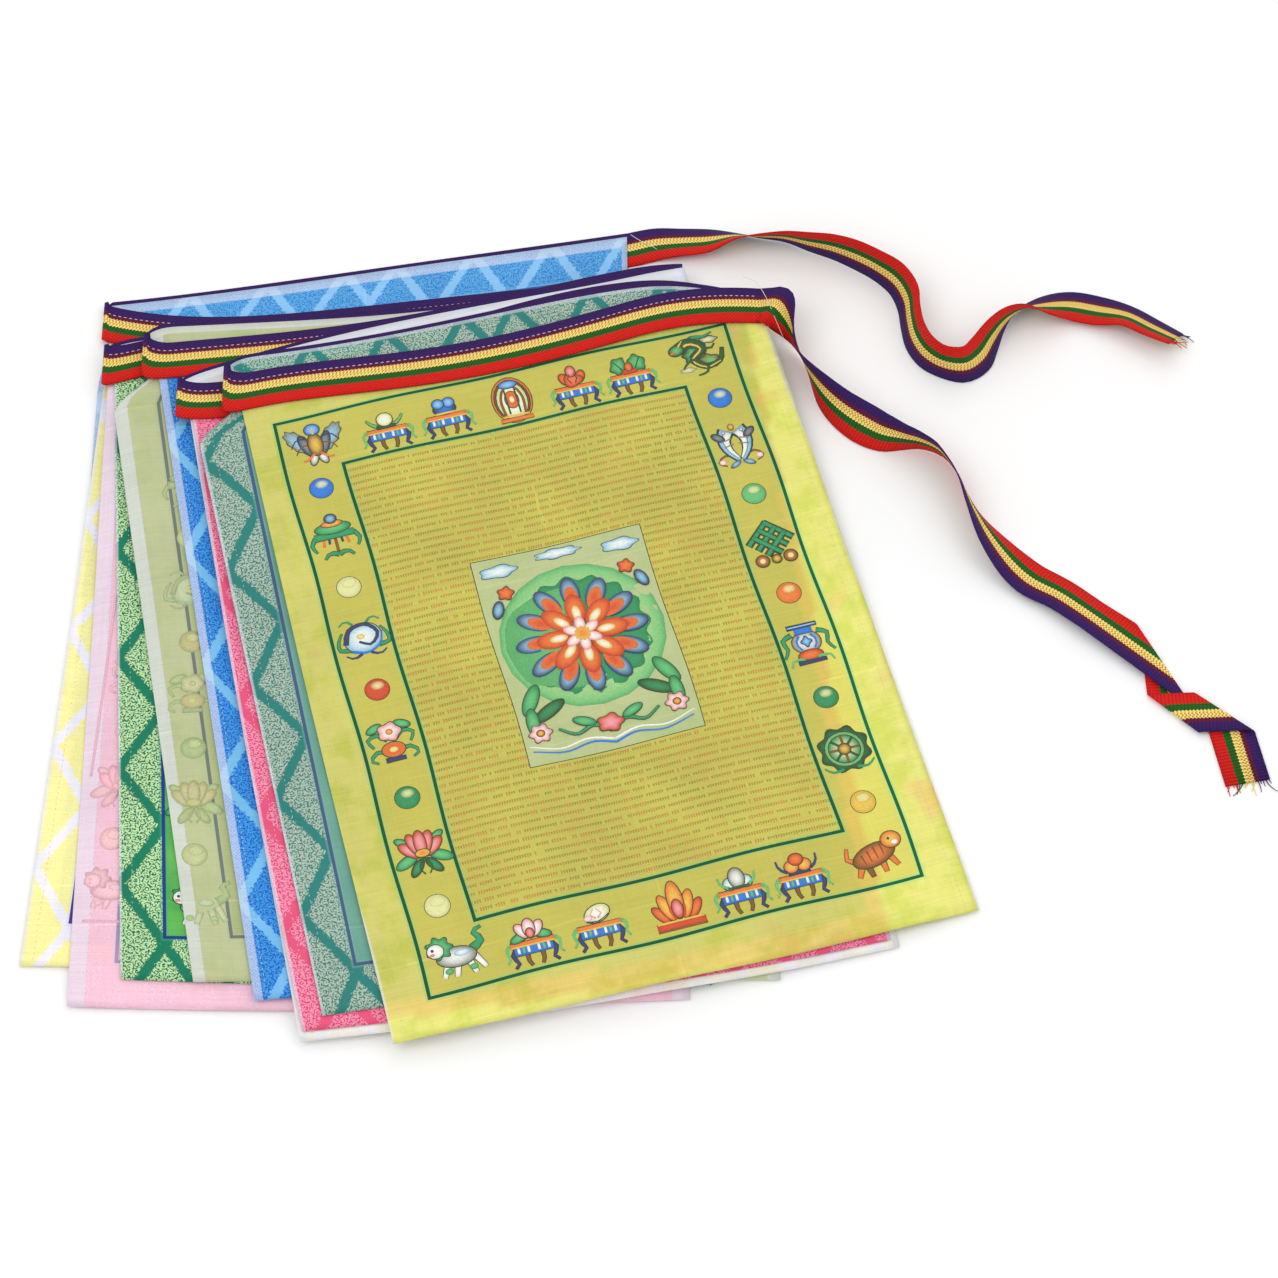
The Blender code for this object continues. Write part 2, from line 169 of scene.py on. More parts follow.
# The woven and printed patterns
WEAVE_PITCH = 0.42
RIB = 1.8
CORD = 1.2
FLECK = (0.9, 1.1)
FLECKED = ((10.9, 11.4), (14.6, 14.1))
TOOTH = (0.9, 0.8)
DIAMOND = (42.0, 66.0)
DIAMOND_RISE = 27.5
TICK = 1.25
FOLD_PITCH = 47.5
PICTURE_DROP = 2.0
# Added to a value before it is wrapped, so that it is never negative
FAR = 1000.0

# The print, laid out from its middle, and the camera that it was measured by
PRINT_TURN = 15.48
PRINT_PLANE = 12.7
CAMERA = (26.4, -909.2, 1487.0)
CAMERA_TILT = 31.69
CAMERA_LENS = 100.0
SENSOR = 36.0
LAMPS = (("key", (-0.9, -0.6, 2.0), 1.6, 16.0), ("fill", (1.3, -0.4, 1.8), 1.8, 7.0),
         ("back", (0.2, 1.6, 1.8), 1.8, 8.0))
SKY = 0.72
FLOOR_REACH = 6.0
FLOOR_DROP = 0.0002


def linear(red, green, blue):
    """A colour given as 0 to 255 display values, in linear light."""
    share = np.array((red, green, blue)) / 255.0
    light = np.where(share <= 0.04045, share / 12.92, ((share + 0.055) / 1.055) ** 2.4)
    return tuple(float(value) for value in light)


def length(name, description, default):
    """A size property, in metres."""
    return FloatProperty(name=name, description=description, default=default * MM,
                         min=0.0, precision=5, subtype="DISTANCE", unit="LENGTH")


def colour(name, description, *display):
    """A colour property, from display values."""
    return FloatVectorProperty(name=name, description=description, size=3,
                               default=linear(*display), min=0.0, max=1.0, subtype="COLOR")


class FlagSizes(bpy.types.PropertyGroup):
    """Sizes of the cloth, its print and the tape."""
    cloth_width: length("Cloth width", "Width of one flag, cut flat", 280.0)
    cloth_height: length("Cloth height", "Height of one flag, cut flat", 380.0)
    cloth_thick: length("Cloth thickness", "Thickness of the shown cloth", 0.3)
    outer_width: length("Outer frame width", "Width of the outer printed frame", 237.6)
    outer_height: length("Outer frame height", "Height of the outer printed frame", 333.5)
    inner_width: length("Inner frame width", "Width of the inner printed frame", 179.0)
    inner_height: length("Inner frame height", "Height of the inner printed frame", 267.7)
    frame_line: length("Frame line", "Width of a printed frame line", 1.7)
    row_pitch: length("Row pitch", "Distance from one printed row of ticks to the next", 4.3)
    picture_width: length("Picture width", "Width of the centre panel", 87.4)
    picture_height: length("Picture height", "Height of the centre panel", 120.9)
    tape_width: length("Tape width", "Width of the woven tape", 22.0)
    tape_thick: length("Tape thickness", "Thickness of the shown tape", 0.7)
    stitch: length("Stitch", "Length of one stitch", 1.7)


class FlagColours(bpy.types.PropertyGroup):
    """Colours of the five cloths, the tape and the print."""
    yellow: colour("Yellow cloth", "Ground of the yellow flags", 232, 228, 112)
    green: colour("Green cloth", "Ground of the green flags", 8, 122, 88)
    red: colour("Red cloth", "Ground of the red flags", 226, 60, 84)
    white: colour("White cloth", "Ground of the white flags", 240, 237, 242)
    blue: colour("Blue cloth", "Ground of the blue flags", 10, 112, 205)
    tape_purple: colour("Tape purple", "First stripe of the tape", 52, 18, 92)
    tape_maroon: colour("Tape maroon", "Second stripe of the tape", 96, 14, 52)
    tape_yellow: colour("Tape yellow", "Third stripe of the tape", 247, 220, 118)
    tape_green: colour("Tape green", "Fourth stripe of the tape", 28, 92, 24)
    tape_red: colour("Tape red", "Fifth stripe of the tape", 214, 22, 12)
    thread: colour("Thread", "Sewing thread", 232, 214, 220)


# Ground, lattice, flowers, frame line, halo, motif band and field, by cloth and side
PRINT_COLUMNS = ("ground", "bands", "flowers", "line", "halo", "band", "field")
PRINTS = {
    "yellow up": ((233, 230, 126), (238, 196, 118), (212, 218, 96), (10, 98, 58),
                  (150, 226, 140), (223, 217, 102), (217, 210, 100)),
    "yellow down": ((204, 210, 164), (204, 210, 164), (194, 204, 152), (118, 130, 122),
                    (190, 200, 170), (184, 194, 140), (188, 196, 140)),
    "green up": ((10, 104, 76), (4, 120, 88), (186, 224, 164), (20, 56, 120),
                 (60, 160, 130), (96, 182, 84), (70, 160, 70)),
    "green down": ((52, 128, 120), (40, 132, 124), (174, 198, 178), (66, 96, 130),
                   (120, 176, 168), (104, 168, 152), (112, 172, 150)),
    "red up": ((222, 62, 104), (230, 84, 124), (242, 146, 178), (60, 40, 120),
               (240, 150, 170), (238, 130, 150), (232, 110, 130)),
    "red down": ((244, 190, 210), (246, 196, 214), (246, 202, 220), (170, 150, 190),
                 (240, 200, 220), (244, 188, 202), (240, 184, 200)),
    "white up": ((247, 238, 142), (240, 236, 243), (248, 242, 170), (66, 54, 150),
                 (216, 214, 236), (238, 236, 243), (234, 232, 240)),
    "white down": ((238, 235, 240), (240, 238, 243), (244, 240, 222), (110, 104, 160),
                   (230, 228, 238), (236, 234, 240), (232, 230, 236)),
    "blue up": ((4, 92, 196), (116, 186, 236), (60, 152, 226), (20, 40, 120),
                (110, 180, 230), (70, 150, 215), (60, 140, 205)),
    "blue down": ((38, 124, 208), (136, 192, 238), (92, 168, 220), (50, 90, 150),
                  (130, 190, 235), (96, 164, 224), (90, 160, 220)),
}
INKS = {
    "pine": (14, 78, 56), "green": (18, 138, 92), "leaf": (96, 186, 120), "navy": (26, 44, 112),
    "blue": (14, 116, 214), "sky": (140, 196, 226), "red": (206, 62, 50), "orange": (232, 118, 62),
    "brown": (122, 78, 50), "white": (238, 238, 232), "grey": (132, 140, 134), "pink": (236, 158, 170),
    "gold": (228, 188, 84), "pale": (222, 222, 160), "jade": (10, 150, 104), "edge": (48, 62, 54),
}


# The small ornaments of the print, in millimetres from their own middle.
# A spot: ink, ink at its centre, x, y, half width, half height, and where it isn't plain
# its turn, petals and petal depth.
# A line: ink, width at its start and end, points. Spots and lines come in mirrored pairs.
TABLE = (
    ("lines", "navy", 1.7, 1.1, ((7.6, -3), (9.4, -6), (7.4, -9), (9.4, -11.4))),
    ("lines", "brown", 1.6, 1.2, ((2.6, -4), (3.4, -8), (2.2, -11.4))),
    ("line", "blue", 4.4, 4.4, ((-8.2, -3.6), (8.2, -3.6))),
    ("lines", "white", 1.1, 1.1, ((6.4, -2.2), (6.4, -5))),
    ("lines", "white", 1.1, 1.1, ((2.2, -2.2), (2.2, -5))),
    ("lines", "leaf", 1.0, 1.0, ((4.3, -2.2), (4.3, -5))),
    ("line", "orange", 2.0, 2.0, ((-9.4, -0.9), (9.4, -0.9))),
    ("line", "gold", 0.7, 0.7, ((-9.4, -1.9), (9.4, -1.9))),
    ("lines", "leaf", 1.5, 0.7, ((9.6, -0.4), (11.6, -3.2), (10.4, -6), (12, -8.6))),
)
ORNAMENTS = {
    "pale offering": (
        ("lines", "leaf", 1.6, 0.6, ((2.5, 1.2), (6, 2.8), (8.4, 6.2))),
        ("line", "pine", 1.6, 1.6, ((-4.4, 0.9), (4.4, 0.9))),
        ("spot", "pale", "white", 0, 4.8, 3.5, 3.5),
    ),
    "blue bowl": (
        ("spot", "navy", "blue", 0, 3.4, 5.2, 3.2), ("spots", "blue", "sky", 2.4, 6.4, 2.6, 2.6),
        ("line", "gold", 1.1, 1.1, ((-4.6, 0.9), (4.6, 0.9))),
    ),
    "shrine": (
        ("spot", "orange", "gold", 0, 0, 9, 12.6), ("spot", "brown", "brown", 0, -0.3, 7.9, 11.4),
        ("spot", "pale", "white", 0, -0.5, 6.9, 10.4),
        ("lines", "brown", 1.3, 1.3, ((4.6, -9), (4.6, 2.6), (2.8, 6.4), (0, 8))),
        ("spot", "blue", "sky", 0, 8.8, 4.2, 2),
        ("line", "orange", 1.8, 1.8, ((-7.6, -10.8), (7.6, -10.8))),
        ("line", "gold", 1.1, 1.1, ((-6.2, -8.8), (6.2, -8.8))),
        ("spot", "orange", "red", 0, 0.2, 3, 4.6), ("spot", "gold", "white", 0, 0.2, 1.2, 2),
        ("lines", "pine", 0.8, 0.8, ((2.4, -7.6), (2.4, 5.8))),
    ),
    "red jewels": (
        ("spots", "red", "orange", 3.7, 4.6, 2, 3.4, -22),
        ("spot", "red", "orange", 0, 3.2, 4.2, 3.4, 0, 3, 0.12), ("spot", "red", "pink", 0, 8.2, 2.1, 3),
        ("lines", "navy", 0.6, 0.4, ((0.9, 1.6), (2.2, 4.4), (1, 6.6))),
    ),
    "green fans": (
        ("spots", "green", "leaf", 4.4, 5.2, 3.4, 4.4, 20, 5, 0.12),
        ("lines", "pine", 0.7, 0.5, ((2.8, 1.4), (4.4, 5), (6.2, 8))),
        ("line", "red", 2.2, 2.2, ((-3.2, 1.2), (3.2, 1.2))),
        ("spot", "red", "orange", 0, 3.6, 1.6, 2.4),
    ),
    "lotus bowl": (
        ("spots", "jade", "leaf", 4.8, 2.2, 4, 1.8, -20),
        ("spots", "pink", "white", 3.2, 5, 2.1, 3.9, -32), ("spot", "pink", "white", 0, 5.8, 2.5, 4.3),
        ("spot", "red", "pink", 0, 3.4, 1.6, 2.2),
    ),
    "white shell": (
        ("spot", "pale", "white", 0.6, 4.8, 5.6, 3.8, 20),
        ("lines", "pink", 0.9, 0.4, ((0.4, 2.6), (2.4, 4.6), (0.6, 7))),
        ("spot", "pink", "white", -3.6, 3.2, 1.9, 1.3),
        ("line", "navy", 0.6, 0.4, ((-4.6, 1.7), (0.5, 1.1), (5.2, 3.6))),
    ),
    "flame": (
        ("spots", "red", "orange", 7.4, -3.4, 2, 5, -34),
        ("spots", "orange", "gold", 4.4, -0.6, 2.4, 6.6, -18),
        ("spot", "orange", "gold", 0, 2.2, 3.2, 9), ("spots", "red", "red", 2.4, -3.4, 1, 3.4, -14),
        ("spot", "red", "pink", 0, -2, 2.2, 4.4), ("line", "red", 3, 3, ((-10.5, -9.4), (10.5, -9.4))),
        ("line", "gold", 0.9, 0.9, ((-10.2, -7.6), (10.2, -7.6))),
        ("line", "brown", 0.8, 0.8, ((-10.6, -11.2), (10.6, -11.2))),
    ),
    "pale cone": (
        ("spots", "sky", "white", 3.6, 3, 2.5, 2.8), ("spot", "grey", "white", 0, 5.2, 3.3, 4.8),
        ("lines", "leaf", 1.4, 0.6, ((4, 1.2), (7, 3.2), (8, 6.8))),
        ("line", "pine", 1.1, 1.1, ((-4.6, 0.9), (4.6, 0.9))),
    ),
    "fruit": (
        ("line", "navy", 2.2, 2.2, ((-4.8, 1.2), (4.8, 1.2))),
        ("spots", "orange", "gold", 2.7, 4, 2.9, 2.8), ("spot", "red", "orange", 0, 7, 3, 2.7),
        ("lines", "navy", 1.4, 0.7, ((5, 1.8), (8, 4.2), (8.6, 8))),
    ),
    "parasol": (
        ("line", "brown", 1.4, 1.4, ((0, 0), (0, -9.6))),
        ("lines", "jade", 1.8, 0.9, ((8.4, 1), (10.8, -3), (9.2, -7))),
        ("lines", "orange", 1.3, 1.3, ((5, 0), (5.6, -4.6))),
        ("lines", "navy", 1.1, 1.1, ((2.6, 0), (3, -3.6))),
        ("line", "jade", 3.2, 3.2, ((-9, 0.8), (9, 0.8))), ("spot", "jade", "leaf", 0, 4.6, 8, 3),
        ("spot", "orange", "gold", 0, 6.9, 4.6, 1.6), ("spot", "navy", "sky", 0, 9.6, 2.6, 2.4),
        ("lines", "jade", 2, 0.9, ((0, -9.6), (4, -8.6), (6.6, -11.2))),
    ),
    "shell swirl": (
        ("lines", "jade", 1.8, 0.7, ((6, -5), (11, -4), (10.6, 0.6), (8.4, 4.4))),
        ("spot", "sky", "white", 0, 0, 8.4, 7.4, 20),
        ("line", "navy", 1.7, 0.8, ((-8, -2), (-5, 5.2), (2.6, 6.6), (6.8, 1.2), (2.6, -4), (-2, -1.6))),
        ("line", "blue", 1.4, 0.6, ((-6, -6), (0.4, -7.8), (7, -4.2), (8.8, 2))),
        ("spot", "gold", "pale", -0.8, 0.8, 1.8, 1.4),
        ("lines", "navy", 1.4, 0.6, ((2, -8), (6, -9.6), (9, -7.6))),
        ("lines", "jade", 1.2, 0.6, ((3, 7.6), (6, 10), (9, 8))),
    ),
    "flower vase": (
        ("lines", "jade", 1.9, 0.9, ((1.5, 1), (6, 4.4), (10, 2.6), (8, -1.8))),
        ("lines", "jade", 1.7, 0.8, ((2, -5.4), (7, -4), (10.4, -7.6), (7.6, -9.6))),
        ("spots", "jade", "leaf", 6.2, 7.6, 3.6, 1.7, -24),
        ("spot", "pink", "white", 0, 4.8, 4.8, 4.3, 0, 5, 0.12),
        ("spot", "red", "gold", 0, 4.8, 1.6, 1.5), ("spot", "orange", "red", 0, -4.2, 5, 3.6),
        ("spot", "gold", "pale", 0, -4.2, 2, 1.4), ("line", "navy", 1.7, 1.7, ((-4.4, -9), (4.4, -9))),
    ),
    "lotus": (
        ("spots", "jade", "leaf", 7.4, -3.6, 5.2, 2.3, -26),
        ("spots", "pine", "jade", 3.6, -7.4, 4.6, 1.9, -52),
        ("spots", "jade", "leaf", 7.4, 5.8, 3.4, 1.6, 34),
        ("spots", "red", "pink", 5, 1.4, 2.5, 5.4, -48),
        ("spots", "red", "pink", 2.6, 3.6, 2.4, 5.8, -20), ("spot", "red", "pink", 0, 4, 2.5, 6),
        ("spot", "gold", "orange", 0, -1, 3, 1.7),
        ("lines", "pine", 1, 0.5, ((0, -3), (2.6, -8), (1, -11))),
    ),
    "twin fish": (
        ("lines", "brown", 1.5, 0.7, ((2, -6), (7.6, -5), (10.4, -8.6), (7, -10.4))),
        ("spots", "pink", "white", 8.6, -8, 1.6, 1.4),
        ("lines", "navy", 7.4, 2.4, ((2.6, 8.4), (4.9, 4), (4.4, -2.4), (0.8, -8.6))),
        ("lines", "sky", 6.0, 1.6, ((2.6, 8.2), (4.9, 4), (4.4, -2.4), (0.8, -8.4))),
        ("lines", "white", 3.4, 0.8, ((2.2, 7), (4, 3), (3.4, -2.4), (0.6, -7.4))),
        ("spots", "navy", "grey", 7.2, 5.4, 3.2, 1.6, 42),
        ("spots", "navy", "sky", 3.2, -10.4, 3, 1.3, -28),
        ("spots", "navy", "white", 4.2, 7.4, 0.9, 0.9),
        ("lines", "grey", 0.6, 0.6, ((1.6, 3.6), (6.2, 2.6))),
        ("lines", "grey", 0.6, 0.6, ((1.4, 0.6), (5.8, -0.6))),
        ("spot", "brown", "gold", 0, 9.8, 1.5, 1.9),
    ),
    "endless knot": (
        ("lines", "pine", 2.8, 2.8, ((-10.2, 0.6), (0.6, 11.4))),
        ("lines", "pine", 2.8, 2.8, ((-6.8, -2.8), (4, 8))),
        ("lines", "pine", 2.8, 2.8, ((-3.4, -6.2), (7.4, 4.6))),
        ("lines", "jade", 1.8, 1.8, ((-10.2, 0.6), (0.6, 11.4))),
        ("lines", "jade", 1.8, 1.8, ((-6.8, -2.8), (4, 8))),
        ("lines", "jade", 1.8, 1.8, ((-3.4, -6.2), (7.4, 4.6))),
        ("spots", "brown", "orange", 6.4, -8.6, 2.9, 2.9),
        ("spots", "pale", "pale", 6.4, -8.6, 1.3, 1.3), ("spot", "brown", "gold", 0, -8.8, 2, 2),
    ),
    "treasure vase": (
        ("lines", "jade", 1.9, 0.9, ((5.6, 5.4), (10, 3.2), (9, -2), (11.4, -6))),
        ("spot", "grey", "white", 0, 0.4, 6.4, 5.6),
        ("lines", "blue", 1.2, 0.8, ((2.6, 4), (4.6, 0.6), (2.8, -3.4))),
        ("line", "blue", 3, 3, ((-4, 6.4), (4, 6.4))),
        ("line", "navy", 1.8, 1.8, ((-6.8, 8.9), (6.8, 8.9))),
        ("line", "sky", 0.7, 0.7, ((-6.4, 8.9), (6.4, 8.9))),
        ("spot", "red", "orange", 0, -6.4, 5.4, 2.6),
        ("line", "navy", 1.6, 1.6, ((-6.4, -9.6), (6.4, -9.6))),
        ("spot", "blue", "sky", 0, 0.6, 1.9, 2.2, 0, 4, 0.2),
        ("lines", "leaf", 1.4, 0.7, ((3, -8), (8.4, -8), (9.6, -11))),
    ),
    "wheel": (
        ("spot", "pine", "jade", 0, 0, 10.6, 10.6, 22.5, 8, 0.09),
        ("spot", "leaf", "pale", 0, 0, 8.4, 8.4), ("spot", "jade", "pale", 0, 0, 6.8, 6.8),
        ("line", "brown", 1.2, 1.2, ((-7, 0), (7, 0))), ("line", "brown", 1.2, 1.2, ((0, -7), (0, 7))),
        ("lines", "pine", 1.2, 1.2, ((-5, -5), (5, 5))), ("spot", "brown", "gold", 0, 0, 2.6, 2.6),
        ("lines", "jade", 1.5, 0.7, ((3, -9.6), (8, -10), (11, -7.4))),
    ),
    "bird": (
        ("spots", "grey", "sky", 7.2, 1.6, 3.6, 8.2, -36, 9, 0.08),
        ("spots", "navy", "grey", 4.2, -1.2, 2.3, 6.6, -20),
        ("lines", "navy", 0.8, 0.5, ((4, 3), (8, 3), (11, -1))),
        ("lines", "brown", 0.8, 0.5, ((3.4, -0.6), (7, -1.4), (9.4, -5))),
        ("spots", "grey", "white", 2, -8.6, 1.7, 3.6, 20), ("spot", "brown", "gold", 0, -1.2, 3.3, 6.2),
        ("spot", "blue", "sky", 0, 7.2, 3.4, 2.9), ("line", "gold", 1.5, 0.5, ((0, 6.8), (0, 4.4))),
        ("lines", "orange", 1.3, 0.8, ((1.5, -6), (4.6, -8.8), (7, -9.2))),
        ("spots", "navy", "white", 1.3, 7.8, 0.6, 0.6),
    ),
    "dragon": (
        ("spot", "grey", "pale", 6.4, 8.2, 4, 1.7, 0, 5, 0.12),
        ("spot", "grey", "pale", -7, -6.4, 3.8, 1.5, 0, 5, 0.12),
        ("spot", "pine", "leaf", -1.6, 1.8, 5.6, 4.4, 20, 7, 0.12),
        ("spot", "brown", "leaf", 4.6, -3.4, 4.6, 3.2, -20, 6, 0.12),
        ("line", "jade", 2.4, 0.5, ((-6.6, 6), (-1, 11), (5, 10.4), (9, 12))),
        ("line", "pine", 5.8, 1.6, ((-9, 5.6), (-3, 8.6), (2.6, 4.4), (-3, -1.2), (2, -6.2), (9, -4.2),
                                    (11.4, 2.4))),
        ("line", "gold", 1.3, 0.6, ((-9, 5.2), (-3, 7.8), (1.8, 4.2), (-3.6, -1.6), (2, -6.8), (9, -4.8))),
        ("spot", "pine", "leaf", -9.4, 5.6, 3.6, 2.8, 20),
        ("line", "gold", 1, 0.4, ((-8.2, 7.4), (-5.4, 10.6))),
        ("line", "pine", 1.5, 0.8, ((-1, -1), (-6, -2.4), (-8.8, -5.6))),
        ("line", "pine", 1.5, 0.8, ((3, -5), (1.4, -9.4), (-3, -10.4))),
        ("line", "pine", 1.5, 0.8, ((2, 5), (6.6, 3.2), (8.6, 5.4))),
        ("spot", "red", "orange", -11.6, 4.4, 1.2, 0.7, 20),
    ),
    "lion": (
        ("line", "jade", 3.6, 1.2, ((6.6, 2), (11, 5.6), (8.6, 9.6), (12.4, 11.4))),
        ("line", "white", 2.6, 2.0, ((-4.6, -2), (-7.4, -8.6))),
        ("line", "white", 2.6, 2.0, ((-0.6, -3), (-2.2, -9))),
        ("line", "white", 2.6, 2.0, ((4, -2), (6, -9))),
        ("line", "white", 2.6, 2.0, ((6.4, 0), (10.4, -7.4))),
        ("spot", "grey", "white", -0.6, 0, 8.4, 4.5),
        ("spot", "jade", "leaf", -6.8, 5.4, 5, 4.7, 0, 7, 0.16),
        ("spot", "white", "white", -8.6, 4.4, 3.4, 3.1), ("spot", "jade", "leaf", -5, -6, 1.8, 1.4),
        ("spot", "jade", "leaf", 5.4, -6.2, 1.8, 1.4), ("spot", "sky", "white", 2, 1.4, 3.4, 1.5),
        ("spot", "navy", "navy", -9.8, 5, 0.7, 0.7), ("spot", "red", "pink", -10.2, 3, 1.1, 0.7),
    ),
    "tiger": (
        ("line", "orange", 2.1, 1.2, ((-7.6, -2), (-12, -0.6), (-11, 5.2))),
        ("line", "orange", 2.6, 1.8, ((5, -1), (8.4, -7.6))),
        ("line", "orange", 2.6, 1.8, ((2, -3), (2.6, -9.6))),
        ("line", "brown", 2.6, 1.8, ((-4.6, -4), (-3.4, -10.6))),
        ("line", "orange", 2.6, 1.8, ((-6.6, -4), (-9.4, -9.8))),
        ("spot", "brown", "orange", -0.6, -0.6, 9.8, 5, 16),
        ("spot", "orange", "gold", 8.3, 4.8, 4.2, 3.8),
        ("line", "brown", 0.9, 0.4, ((-6, 0.4), (-5, -4.4))),
        ("line", "brown", 0.9, 0.4, ((-3.2, 2), (-2.2, -3.6))),
        ("line", "brown", 0.9, 0.4, ((-0.2, 3.2), (0.8, -2.6))),
        ("line", "brown", 0.9, 0.4, ((3, 4), (3.6, -1))), ("spot", "white", "white", 9.6, 3.2, 1.4, 1),
        ("spot", "navy", "navy", 7.4, 5.4, 0.6, 0.6),
    ),
    "panel": (
        ("spot", "leaf", "pale", 0, 6, 41, 41), ("spot", "green", "jade", 0, 6, 33, 33, 0, 16, 0.05),
        ("spots", "sky", "white", 31, 52, 9, 3.4, 0, 5, 0.12),
        ("spot", "sky", "white", 0, 55, 11, 2.6, 0, 7, 0.12),
        ("lines", "blue", 1.2, 0.6, ((0, -57), (10, -54), (24, -56), (40, -52))),
        ("lines", "white", 1.2, 0.6, ((0, -55), (12, -51.6), (26, -53.6), (41, -49))),
        ("spots", "green", "leaf", 34, -24, 3.4, 9, 30),
        ("spots", "pine", "green", 27, -32, 3.2, 9.4, 62),
        ("spots", "green", "leaf", 36, -36, 3, 7.4, 4),
        ("spots", "pink", "white", 34, -43, 5, 4.6, 0, 6, 0.16),
        ("spots", "red", "gold", 34, -43, 1.8, 1.7),
        ("spots", "red", "orange", 30.6, 38.6, 3.6, 3.4, 0, 5, 0.16),
        ("spots", "navy", "sky", 36.4, 30, 2.6, 5, 20),
        ("lines", "jade", 2, 0.8, ((0, -50), (8, -45), (17, -48), (25, -43))),
        ("spots", "jade", "leaf", 12, -42, 5.6, 2.2, 24),
        ("spot", "red", "pink", 0, -46, 6, 4.6, 0, 5, 0.14),
    ),
}
ROSETTE_COLUMNS = ("count", "reach", "half_x", "half_y", "ink", "second")
ROSETTES = (
    (12, 24.5, 4.7, 9.0, "navy", "sky"),
    (12, 21.5, 3.3, 6.6, "orange", "red"),
    (8, 14.5, 5.0, 8.6, "red", "orange"),
    (8, 12.0, 2.2, 4.6, "gold", "white"),
    (6, 5.6, 2.6, 4.4, "pink", "white"),
)

# How the ornaments are set out and laid on the cloth
BALL = 6.0
OUTLINE = 0.42
OUTLINED = 1.5
BROADEST = 20.0
ORNAMENT_SCALE = 1.12
TOP_ROW = (("bird", -101, 150), ("pale offering", -64, 149), ("blue bowl", -33, 149),
           ("shrine", 1.5, 149), ("red jewels", 34.5, 149), ("green fans", 64, 149),
           ("dragon", 101, 150))
BOTTOM_ROW = (("lion", -101, -150), ("lotus bowl", -66, -151), ("white shell", -34, -151),
              ("flame", 3.6, -151), ("pale cone", 34.4, -151), ("fruit", 64, -151),
              ("tiger", 101, -150))
ON_TABLE = {"pale offering", "blue bowl", "red jewels", "green fans", "lotus bowl", "white shell",
            "pale cone", "fruit"}
SIDE = 104.0
LEFT_BALLS = (("blue", 122), ("pale", 61), ("red", 0), ("green", -62), ("pale", -122))
RIGHT_BALLS = (("blue", 122), ("leaf", 61), ("orange", 0), ("green", -62), ("gold", -122))
LEFT_SIDE = (("parasol", 92), ("shell swirl", 30.5), ("flower vase", -30), ("lotus", -92))
RIGHT_SIDE = (("twin fish", 92), ("endless knot", 30.5), ("treasure vase", -30), ("wheel", -92))
INK_LIFT = 0.05
INK_LAYER = 0.01
INK_SUNK = -0.12

# Whose print is shown, which flag it lies on or shows through, how faded, and one side
# of it (-1 left, 0 all); then what shows of the last one's printed frame
SHOWN_COLUMNS = ("number", "carrier", "fade", "side")
SHOWN = ((0, 0, 0.06, 0), (6, 6, 0.1, -1), (6, 5, 0.84, -1), (8, 7, 0.86, -1))
SHOWN_FRAME = (((-118.8, -88.0), (-118.8, 120.0)), ((-113.0, -166.7), (-88.0, -166.7)))


def rows_of(columns, table):
    """The rows of a table as dictionaries, named by its columns."""
    return [dict(zip(columns, row)) for row in table]


def ease(value):
    """A smooth step: 0 at 0, 1 at 1, level at both."""
    t = np.clip(value, 0.0, 1.0)
    return t * t * (3.0 - 2.0 * t)


def distance_along(path):
    """How far along a path each of its points lies."""
    return np.concatenate(([0.0], np.cumsum(np.linalg.norm(np.diff(path, axis=0), axis=1))))


def headings(path):
    """Unit directions along a path."""
    ways = np.gradient(path, axis=0)
    return ways / np.linalg.norm(ways, axis=1)[:, None]


def square_to(heading):
    """Unit directions square to each heading: to its left, level, and up."""
    side = np.cross((0.0, 0.0, 1.0), heading)
    side /= np.linalg.norm(side, axis=1)[:, None]
    return side, np.cross(heading, side)


def turned(points, degrees):
    """Plan points turned anticlockwise."""
    a = radians(degrees)
    return points @ np.array(((cos(a), sin(a)), (-sin(a), cos(a))))


def top_edge(run, x):
    """Y of a run's top edge: the quartic in x through its five heights."""
    places = np.linspace(run["left"], run["right"], 5)
    heights = [run[name] for name in RUN_COLUMNS[2:]]
    return np.polyval(np.polyfit(places, heights, 4), x)


def corner_share(number, x):
    """How far a run has come round into its left fold: 1 at the fold and 0 beyond its
    reach, as 1 - sqrt(t (2 - t)), a quarter of an ellipse."""
    left = runs[number]["left"]
    above = [run["left"] for run in runs[:number - number % 2]]
    room = (min(above) - left - CORNER_CLEAR) if above else CORNER_REACH[1]
    t = np.clip((x - left) / np.clip(room, *CORNER_REACH), 0.0, 1.0)
    return 1.0 - np.sqrt(t * (2.0 - t))


def corner_pull(number):
    """Half the way from a run's top edge to its partner's, at the left fold they share."""
    left = runs[number]["left"]
    return (top_edge(runs[number ^ 1], left) - top_edge(runs[number], left)) / 2


def run_top(number, x):
    """A run's top edge, drawn towards its partner's at their left fold."""
    share = 0.6 if number % 2 == 0 else 1.0
    return top_edge(runs[number], x) + share * corner_pull(number) * corner_share(number, x)


def corner_lift(number, x, y):
    """How far cloth and tape stand up into an open loop at the left fold, most at the
    top edge and not at all a tape's width lower."""
    fall = np.clip(1.0 - (run_top(number, x) - y) / TAPE_WIDE, 0.0, 1.0)
    return 0.5 * abs(corner_pull(number)) * corner_share(number, x) * fall


